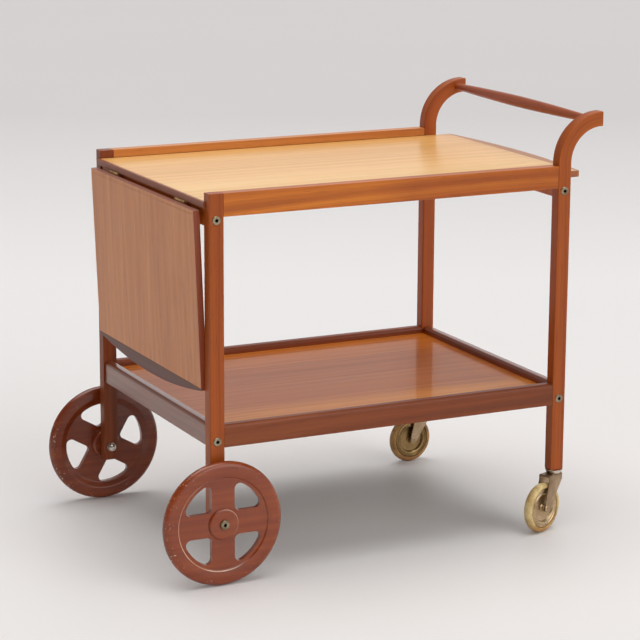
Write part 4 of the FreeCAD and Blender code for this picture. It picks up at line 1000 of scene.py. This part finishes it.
def wheelMaterial(name, look, centre, side):
    # red-brown satin paint over turned wood, rubbed through on the recess edge, chipped on the rim, with a
    # painted highlight on the hub's right edge
    material, tree, shader = blankMaterial(name)
    w = wheelWearAndHighlight
    m = paintMottle
    lay = objectPlace(tree, shift=[-c for c in centre])
    reach = measured(tree, "LENGTH", stretched(tree, lay, (1, 0, 1)))
    wearAndHighlightWay = measured(tree, "DOT_PRODUCT", lay, w["side"])
    outward = product(tree, onAxis(tree, lay, "Y"), float(side))
    onFace = remap(tree, outward, *w["face"])
    grain = noise(tree, lay, m["grain"])
    cloud = noise(tree, lay, m["cloud"], 3.0)
    figure = total(tree, product(tree, grain, m["grainShare"]), product(tree, cloud, m["cloudShare"]))
    colour = toneRamp(tree, figure, look, *m["toneSpan"])
    # rubbed ring where the recess begins, broken up along its way
    ring = remap(tree, gapTo(tree, reach, w["ring"]), *w["ringHalf"], 1.0, 0.0)
    broken = remap(tree, noise(tree, lay, m["breaks"], 3.0), *m["breakSpan"], m["breakLeast"], 1.0)
    broken = product(tree, broken, remap(tree, wearAndHighlightWay, *w["ringSide"]))
    rubbed = product(tree, product(tree, ring, onFace), broken)
    # painted highlight along the hub's right edge
    hubHighlight = remap(tree, gapTo(tree, reach, w["hubHighlight"]), *w["hubHalf"], w["hubMost"], 0.0)
    hubHighlight = product(tree, hubHighlight, remap(tree, wearAndHighlightWay, *w["hubSide"]), onFace)
    # chips on the outer rim, in patches
    specks = remap(tree, noise(tree, lay, m["specks"], 3.0, 0.65), *m["speckSpan"])
    patches = remap(tree, noise(tree, lay, m["patches"], 1.0), *m["patchSpan"])
    patches = product(tree, patches, remap(tree, wearAndHighlightWay, *w["rimSide"], w["rimLeast"], 1.0))
    chips = product(tree, remap(tree, reach, *w["rim"]), specks, patches)
    wornAndHighlight = combine(tree, "MAXIMUM", combine(tree, "MAXIMUM", rubbed, hubHighlight), chips)
    grime = remap(tree, noise(tree, lay, m["grime"], 4.0, 0.65), *m["grimeSpan"], 0.0, m["grimeMost"])
    colour = blendColour(tree, grime, colour, tint(*look["dirtAndShade"]))
    # bare wood where rubbed or chipped, and the painted highlight on the hub's edge
    colour = blendColour(tree, wornAndHighlight, colour, tint(*look["bare"]))
    rough = total(tree, remap(tree, cloud, *usualSpan, *m["rough"]), product(tree, wornAndHighlight, m["wornRough"]))
    height = combine(tree, "SUBTRACT", product(tree, grain, m["grainRelief"]), wornAndHighlight)
    dressShader(tree, shader, colour, rough, height, m["bump"], m["bumpDeep"])
    varnish(shader, look)
    return material


wheelPlace = {"x": -311.75, "z": 106.0, "legFace": 251.5, "nearTurn": 0.0, "farTurn": 60.0}

for word, side in sides:
    p = wheelPlace
    bm = wheelShape()
    turn = Matrix.Rotation(math.radians(p[word + "Turn"]), 3, "Y")
    if side > 0:
        turn = Matrix.Rotation(math.pi, 3, "Z") @ turn
    turnShape(bm, turn)
    centre = Vector((p["x"], p["legFace"] * side, p["z"]))
    moveShape(bm, centre)
    paint = wheelMaterial(word + "WheelPaint", nearPaint if side < 0 else farShadedPaint, centre / 1000, side)
    finishPiece(bm, word + "Wheel", word + "_wheel_body", paint, [word + "_wheel"])

axleBolt = {
    "radius": 8.0, "tall": 3.6, "chamfer": 0.9, "shank": 4.0, "long": 50.0, "socket": 2.9,
    "socketDeep": 2.6, "socketShadeReach": 3.1, "seat": 278.8, "steps": 48,
}
domeNut = {
    "corner": 8.2, "hexTall": 4.5, "radius": 7.0, "sunk": 2.0, "dip": 0.4, "chamfer": 0.6, "seat": 228.8,
    "arcSteps": 12, "steps": 48,
}


def axleBoltShape(side):
    # low round head with a key socket, then its shank
    p = axleBolt
    way = alongY * -side
    top = Vector((wheelPlace["x"], (p["seat"] + p["tall"]) * side, wheelPlace["z"]))
    profile = [(0, 0), (p["radius"] - p["chamfer"], 0), (p["radius"], p["chamfer"]), (p["radius"], p["tall"]),
               (p["shank"], p["tall"]), (p["shank"], p["long"]), (0, p["long"])]
    bm = turnedShape(profile, top, way, p["steps"])
    return pierced(bm, rodFrom(top - way, way, p["socket"], p["socketDeep"] + 1, 6))


def domeNutShape(side):
    # hexagon with a dome over it
    p = domeNut
    way = alongY * -side
    seat = Vector((wheelPlace["x"], p["seat"] * side, wheelPlace["z"]))
    bm = rodFrom(seat, way, p["corner"], p["hexTall"], 6)
    softenRest(bm, p["chamfer"])
    low = p["hexTall"] - p["sunk"]
    start = p["hexTall"] - p["dip"]
    dome = [(0, low), (p["radius"], low)]
    for step in range(p["arcSteps"]):
        angle = math.pi / 2 * step / p["arcSteps"]
        dome.append((p["radius"] * math.cos(angle), start + p["radius"] * math.sin(angle)))
    dome.append((0, start + p["radius"]))
    return addShape(bm, turnedShape(dome, seat, way, p["steps"]))


bolts = bmesh.new()
nuts = bmesh.new()
for side in (-1, 1):
    addShape(bolts, axleBoltShape(side))
    addShape(nuts, domeNutShape(side))
axlePlaces = [(wheelPlace["x"], wheelPlace["z"])]
axleSteel = metalMaterial("axleBoltSteel", bronzedLook, axlePlaces, axleBolt["socketShadeReach"])
finishPiece(bolts, "axleBolts", "frame", axleSteel, ["axle_bolts"])
finishPiece(nuts, "domeNuts", "frame", finishes["nickel"], ["dome_nuts"])
dressNode(finishes["zincSteel"], "axle_sleeves", "axle_washers", "barrel_nuts")
dressNode(beech, "side_frame_dowels", "cross_rail_dowels")
ends = (frameBolt["leftX"], frameBolt["handleX"])
levels = (frameBolt["topZ"], frameBolt["shelfZ"])
boltPlaces = [(x, z) for x in ends for z in levels]
boltSteel = metalMaterial("frameBoltSteel", bronzedLook, boltPlaces, frameBolt["socketShadeReach"])
dressNode(boltSteel, "frame_bolts")
print("stage: wheels done")


# casters, made with the stem on the Z axis and the wheel trailing along -X

caster = {
    "x": 342.75, "y": 240.75, "nearTurn": 21.0, "farTurn": 5.5, "radius": 44.5, "trail": 32.0,
    "forkHalf": 12.0, "sheet": 2.0, "crown": 102.5, "crownThick": 2.5, "crownRound": 3.0,
    "forkFront": 10.0, "forkBack": 26.0, "shoulder": 11.0, "forkEnd": 7.0, "endRound": 6.9,
    "lipLow": 99.0, "forkArris": 0.4, "cutReach": 60.0,
}

# half profiles from the wheel's middle plane outwards, and whole ones up the stem
casterCurves = {
    "tyre": [(35.0, 5.4), (36.4, 7.8), (38.0, 8.0), (40.0, 7.7), (41.8, 6.7), (43.2, 5.0), (44.1, 2.8),
             (44.5, 0.0)],
    "disc": [(3.05, 9.0), (5.9, 9.0), (6.5, 8.4), (6.5, 5.0), (8.5, 3.2), (21.0, 2.6), (23.4, 3.0),
             (25.6, 6.2), (27.0, 7.0), (29.0, 7.0), (30.0, 6.0), (31.4, 6.0), (32.6, 7.0), (34.4, 6.6),
             (35.0, 5.4)],
    "axle": [(3.0, 12.0), (5.0, 12.0), (4.8, 12.7), (3.7, 13.5), (2.8, 13.5), (2.3, 12.2), (0, 12.0)],
    "cap": [(4.05, 107.2), (10.4, 107.2), (11.4, 106.4), (11.8, 103.0), (12.8, 103.0), (13.4, 103.8),
            (14.6, 106.4), (15.0, 107.8), (15.0, 109.0), (5.55, 109.0), (5.55, 148.9), (4.05, 148.9)],
    "race": [(4.05, 102.5), (9.7, 102.5), (10.5, 103.3), (10.5, 104.9), (9.3, 106.7), (4.05, 106.9)],
}


def rollerShape(profile, steps=96):
    return turnedShape(profile, (-caster["trail"], 0, caster["radius"]), alongY, steps)


def stemShape(profile, steps):
    return turnedShape(profile, (0, 0, 0), alongZ, steps)


def forkShape():
    # one pressed piece: a crown with a low lip at the back, and two cheeks drawn in to the axle
    p = caster
    end = p["forkEnd"]
    low = p["radius"] - end
    shoulder = p["crown"] - p["shoulder"]
    outline = [(p["forkFront"], p["crown"]), (-p["forkBack"], p["crown"]), (-p["forkBack"], shoulder),
               (-p["trail"] - end, low), (-p["trail"] + end, low), (p["forkFront"], shoulder)]
    rounds = {3: p["endRound"], 4: p["endRound"]}
    bm = barFrom(outline, alongY, -p["forkHalf"], p["forkHalf"], rounds)
    roundEdges(bm, edgesAlong(bm, alongX, lambda m: m.z > p["crown"] - 1), p["crownRound"], 4)
    inside = p["forkHalf"] - p["sheet"]
    reach = p["cutReach"]
    under = p["crown"] - p["crownThick"]
    lip = p["sheet"] - p["forkBack"]
    bm = pierced(bm, blockBetween((-reach, -inside, -1), (reach, inside, p["lipLow"])))
    bm = pierced(bm, blockBetween((lip, -inside, p["lipLow"] - 1), (reach, inside, under)))
    softenRest(bm, p["forkArris"])
    return bm


rubberLooks = {
    "near": {"dark": (170, 136, 80), "middle": (212, 184, 124), "light": (232, 210, 156),
             "foot": (176, 120, 52)},
    # the far tyre is darker and browner: painted shade
    "far": {"dark": (124, 84, 42), "middle": (164, 120, 64), "light": (194, 150, 90),
            "foot": (146, 90, 38)},
}


# the browner foot's places and the glow's reach are in metres
rubber = {
    "cloud": 40, "fine": 600, "toneSpan": (0.34, 0.66), "footSpan": (0.006, 0.026), "footMost": 0.75,
    "ragged": 0.012, "rough": (0.42, 0.62), "bump": 0.25, "bumpDeep": 0.0002, "glow": 0.08,
    "glowReach": (0.004, 0.0025, 0.001),
}


def rubberMaterial(name, look):
    # yellowed cream rubber, browner where it meets the floor, with grime in patches
    material, tree, shader = blankMaterial(name)
    lay = objectPlace(tree)
    p = rubber
    cloud = noise(tree, lay, p["cloud"], 4.0, 0.6)
    fine = noise(tree, lay, p["fine"])
    tones = toneRamp(tree, cloud, look, *p["toneSpan"])
    height = total(tree, onAxis(tree, lay, "Z"), product(tree, cloud, p["ragged"]))
    # browner towards the tyre's foot
    footBlend = remap(tree, height, *p["footSpan"], p["footMost"], 0.0)
    colour = blendColour(tree, footBlend, tones, tint(*look["foot"]))
    rough = remap(tree, cloud, *usualSpan, *p["rough"])
    dressShader(tree, shader, colour, rough, fine, p["bump"], p["bumpDeep"])
    shader.inputs["Subsurface Weight"].default_value = p["glow"]
    shader.inputs["Subsurface Radius"].default_value = p["glowReach"]
    return material


for word, look in rubberLooks.items():
    finishes[word + "Rubber"] = rubberMaterial(word + "CasterRubber", look)

for word, side in sides:
    node = word + "_caster_"
    c = casterCurves
    swivel = word + "_caster_swivel"
    roller = word + "_caster_roller"
    discProfile = c["disc"] + mirrored(c["disc"])
    tyreProfile = c["tyre"] + mirrored(c["tyre"][:-1])
    axleProfile = mirrored(c["axle"]) + c["axle"]
    pieces = [
        ("Cap", stemShape(c["cap"], 64), "frame", "caster_steel", "capSteel", "socket"),
        ("Race", stemShape(c["race"], 48), swivel, "caster_steel", "casterSteel", "race"),
        ("Fork", forkShape(), swivel, "caster_steel", "casterSteel", "fork"),
        ("Axle", rollerShape(axleProfile, 32), swivel, "caster_steel", "rivetSteel", "axle"),
        ("Disc", rollerShape(discProfile), roller, "caster_steel", word + "DiscSteel", "disc"),
        ("Tyre", rollerShape(tyreProfile), roller, "caster_rubber", word + "Rubber", "tyre"),
    ]
    for ending, bm, body, slotName, finish, nodeEnd in pieces:
        if body != "frame":
            turnShape(bm, Matrix.Rotation(math.radians(caster[word + "Turn"]), 3, "Z"))
        moveShape(bm, (caster["x"], caster["y"] * side, 0))
        finishPiece(bm, word + "Caster" + ending, body, finishes[finish], [node + nodeEnd])
    dressNode(finishes["casterSteel"], node + "stem")
print("stage: casters done")


# floor, light and camera

studio = {
    "floorRadius": 20.0, "away": (0.442, 0.897, 0.0), "paper": (227, 226, 224), "palePaper": (232, 231, 230),
    "nearShadedPaper": (193, 190, 189), "nearSpan": (-5.0, -1.6), "farShadedPaper": (204, 202, 201),
    "farSpan": (2.0, 5.0), "paperRough": (0.5, 0.58), "paperShine": 0.3, "keyStrength": 0.12,
    "keyWay": (-0.06, -0.06, -1.0), "keyAngle": 20.0, "light": (252, 250, 250), "around": 0.49,
    "above": 0.14, "aboveSpan": (0.25, 0.65), "sideSpan": (-0.7, 0.7), "sideShares": (0.5, 1.38),
}

# brighter parts of the room: which way, how close to it, and how bright
lobes = {
    "back": ((0.3, 0.95, 0.0), (0.0, 0.85), 0.22), "glare": ((0.2, 0.98, 0.0), (0.88, 0.97), 0.22),
    "fill": ((0.33, -0.8, 0.5), (0.84, 0.97), 1.85), "overhead": ((0.0, 0.04, 1.0), (0.84, 0.95), 3.45),
}


def floorMaterial():
    # pale paper sweep, with painted shade far from the trolley and on the camera's side
    material, tree, shader = blankMaterial("paleFloor")
    lay = objectPlace(tree)
    cloud = noise(tree, lay, 0.5)
    s = studio
    along = measured(tree, "DOT_PRODUCT", lay, s["away"])
    paper = blendColour(tree, cloud, tint(*s["paper"]), tint(*s["palePaper"]))
    paper = blendColour(tree, remap(tree, along, *s["farSpan"]), paper, tint(*s["farShadedPaper"]))
    paper = blendColour(tree, remap(tree, along, *s["nearSpan"], 1.0, 0.0), paper, tint(*s["nearShadedPaper"]))
    feed(tree, shader.inputs["Base Color"], paper)
    feed(tree, shader.inputs["Roughness"], remap(tree, cloud, *usualSpan, *s["paperRough"]))
    shader.inputs["Specular IOR Level"].default_value = s["paperShine"]
    return material


def addFloor():
    bm = bmesh.new()
    bmesh.ops.create_circle(bm, cap_ends=True, segments=96, radius=studio["floorRadius"])
    mesh = meshFrom(bm, "floor")
    mesh.materials.append(floorMaterial())
    floor = placed("floor", mesh)


def makeWorld():
    # an even room, brighter to the right, with one large soft light overhead and a weaker one in front
    world = bpy.data.worlds.new("paleRoom")
    world.use_nodes = True
    tree = world.node_tree
    way = addNode(tree, "TexCoord", {}).outputs["Generated"]

    def lobe(word):
        middle, span, most = lobes[word]
        return remap(tree, measured(tree, "DOT_PRODUCT", way, middle), *span, 0.0, most)

    around = total(tree, lobe("back"), studio["around"], lobe("glare"))
    high = remap(tree, onAxis(tree, way, "Z"), *studio["aboveSpan"])
    strength = addNode(tree, "Mix", {0: high, 2: around, 3: studio["above"]}).outputs[0]
    sideShare = remap(tree, onAxis(tree, way, "X"), *studio["sideSpan"], *studio["sideShares"])
    strength = total(tree, product(tree, strength, sideShare), lobe("fill"), lobe("overhead"))
    ground = tree.nodes["Background"]
    ground.inputs["Color"].default_value = tint(*studio["light"])
    feed(tree, ground.inputs["Strength"], strength)
    bpy.context.scene.world = world


def addSun(name, strength, way, angle):
    light = bpy.data.lights.new(name, "SUN")
    light.energy = strength
    light.angle = math.radians(angle)
    holder = placed(name, light)
    holder.rotation_euler = Vector(way).to_track_quat("-Z", "Y").to_euler()


view = {"spot": (-1.8505, -3.7532, 1.339), "turn": 26.225, "down": 13.144, "roll": 0.295, "lens": 136.2}


def addCamera():
    # metres and degrees: turned from +Y towards +X, tipped down, and rolled a little
    turn = math.radians(view["turn"])
    down = math.radians(view["down"])
    roll = math.radians(view["roll"])
    ahead = Vector((math.sin(turn) * math.cos(down), math.cos(turn) * math.cos(down), -math.sin(down)))
    level = Vector((math.cos(turn), -math.sin(turn), 0))
    upright = level.cross(ahead)
    right = level * math.cos(roll) + upright * math.sin(roll)
    up = upright * math.cos(roll) - level * math.sin(roll)
    lens = bpy.data.cameras.new("camera")
    lens.lens = view["lens"]
    lens.sensor_width = 36.0
    lens.clip_end = 100.0
    camera = placed("camera", lens)
    facing = Matrix((right, up, -ahead)).transposed().to_4x4()
    camera.matrix_world = Matrix.Translation(view["spot"]) @ facing
    bpy.context.scene.camera = camera


addFloor()
makeWorld()
addSun("key", studio["keyStrength"], studio["keyWay"], studio["keyAngle"])
addCamera()
bpy.context.scene.view_settings.view_transform = "Standard"
print("stage: floor, light and camera done")
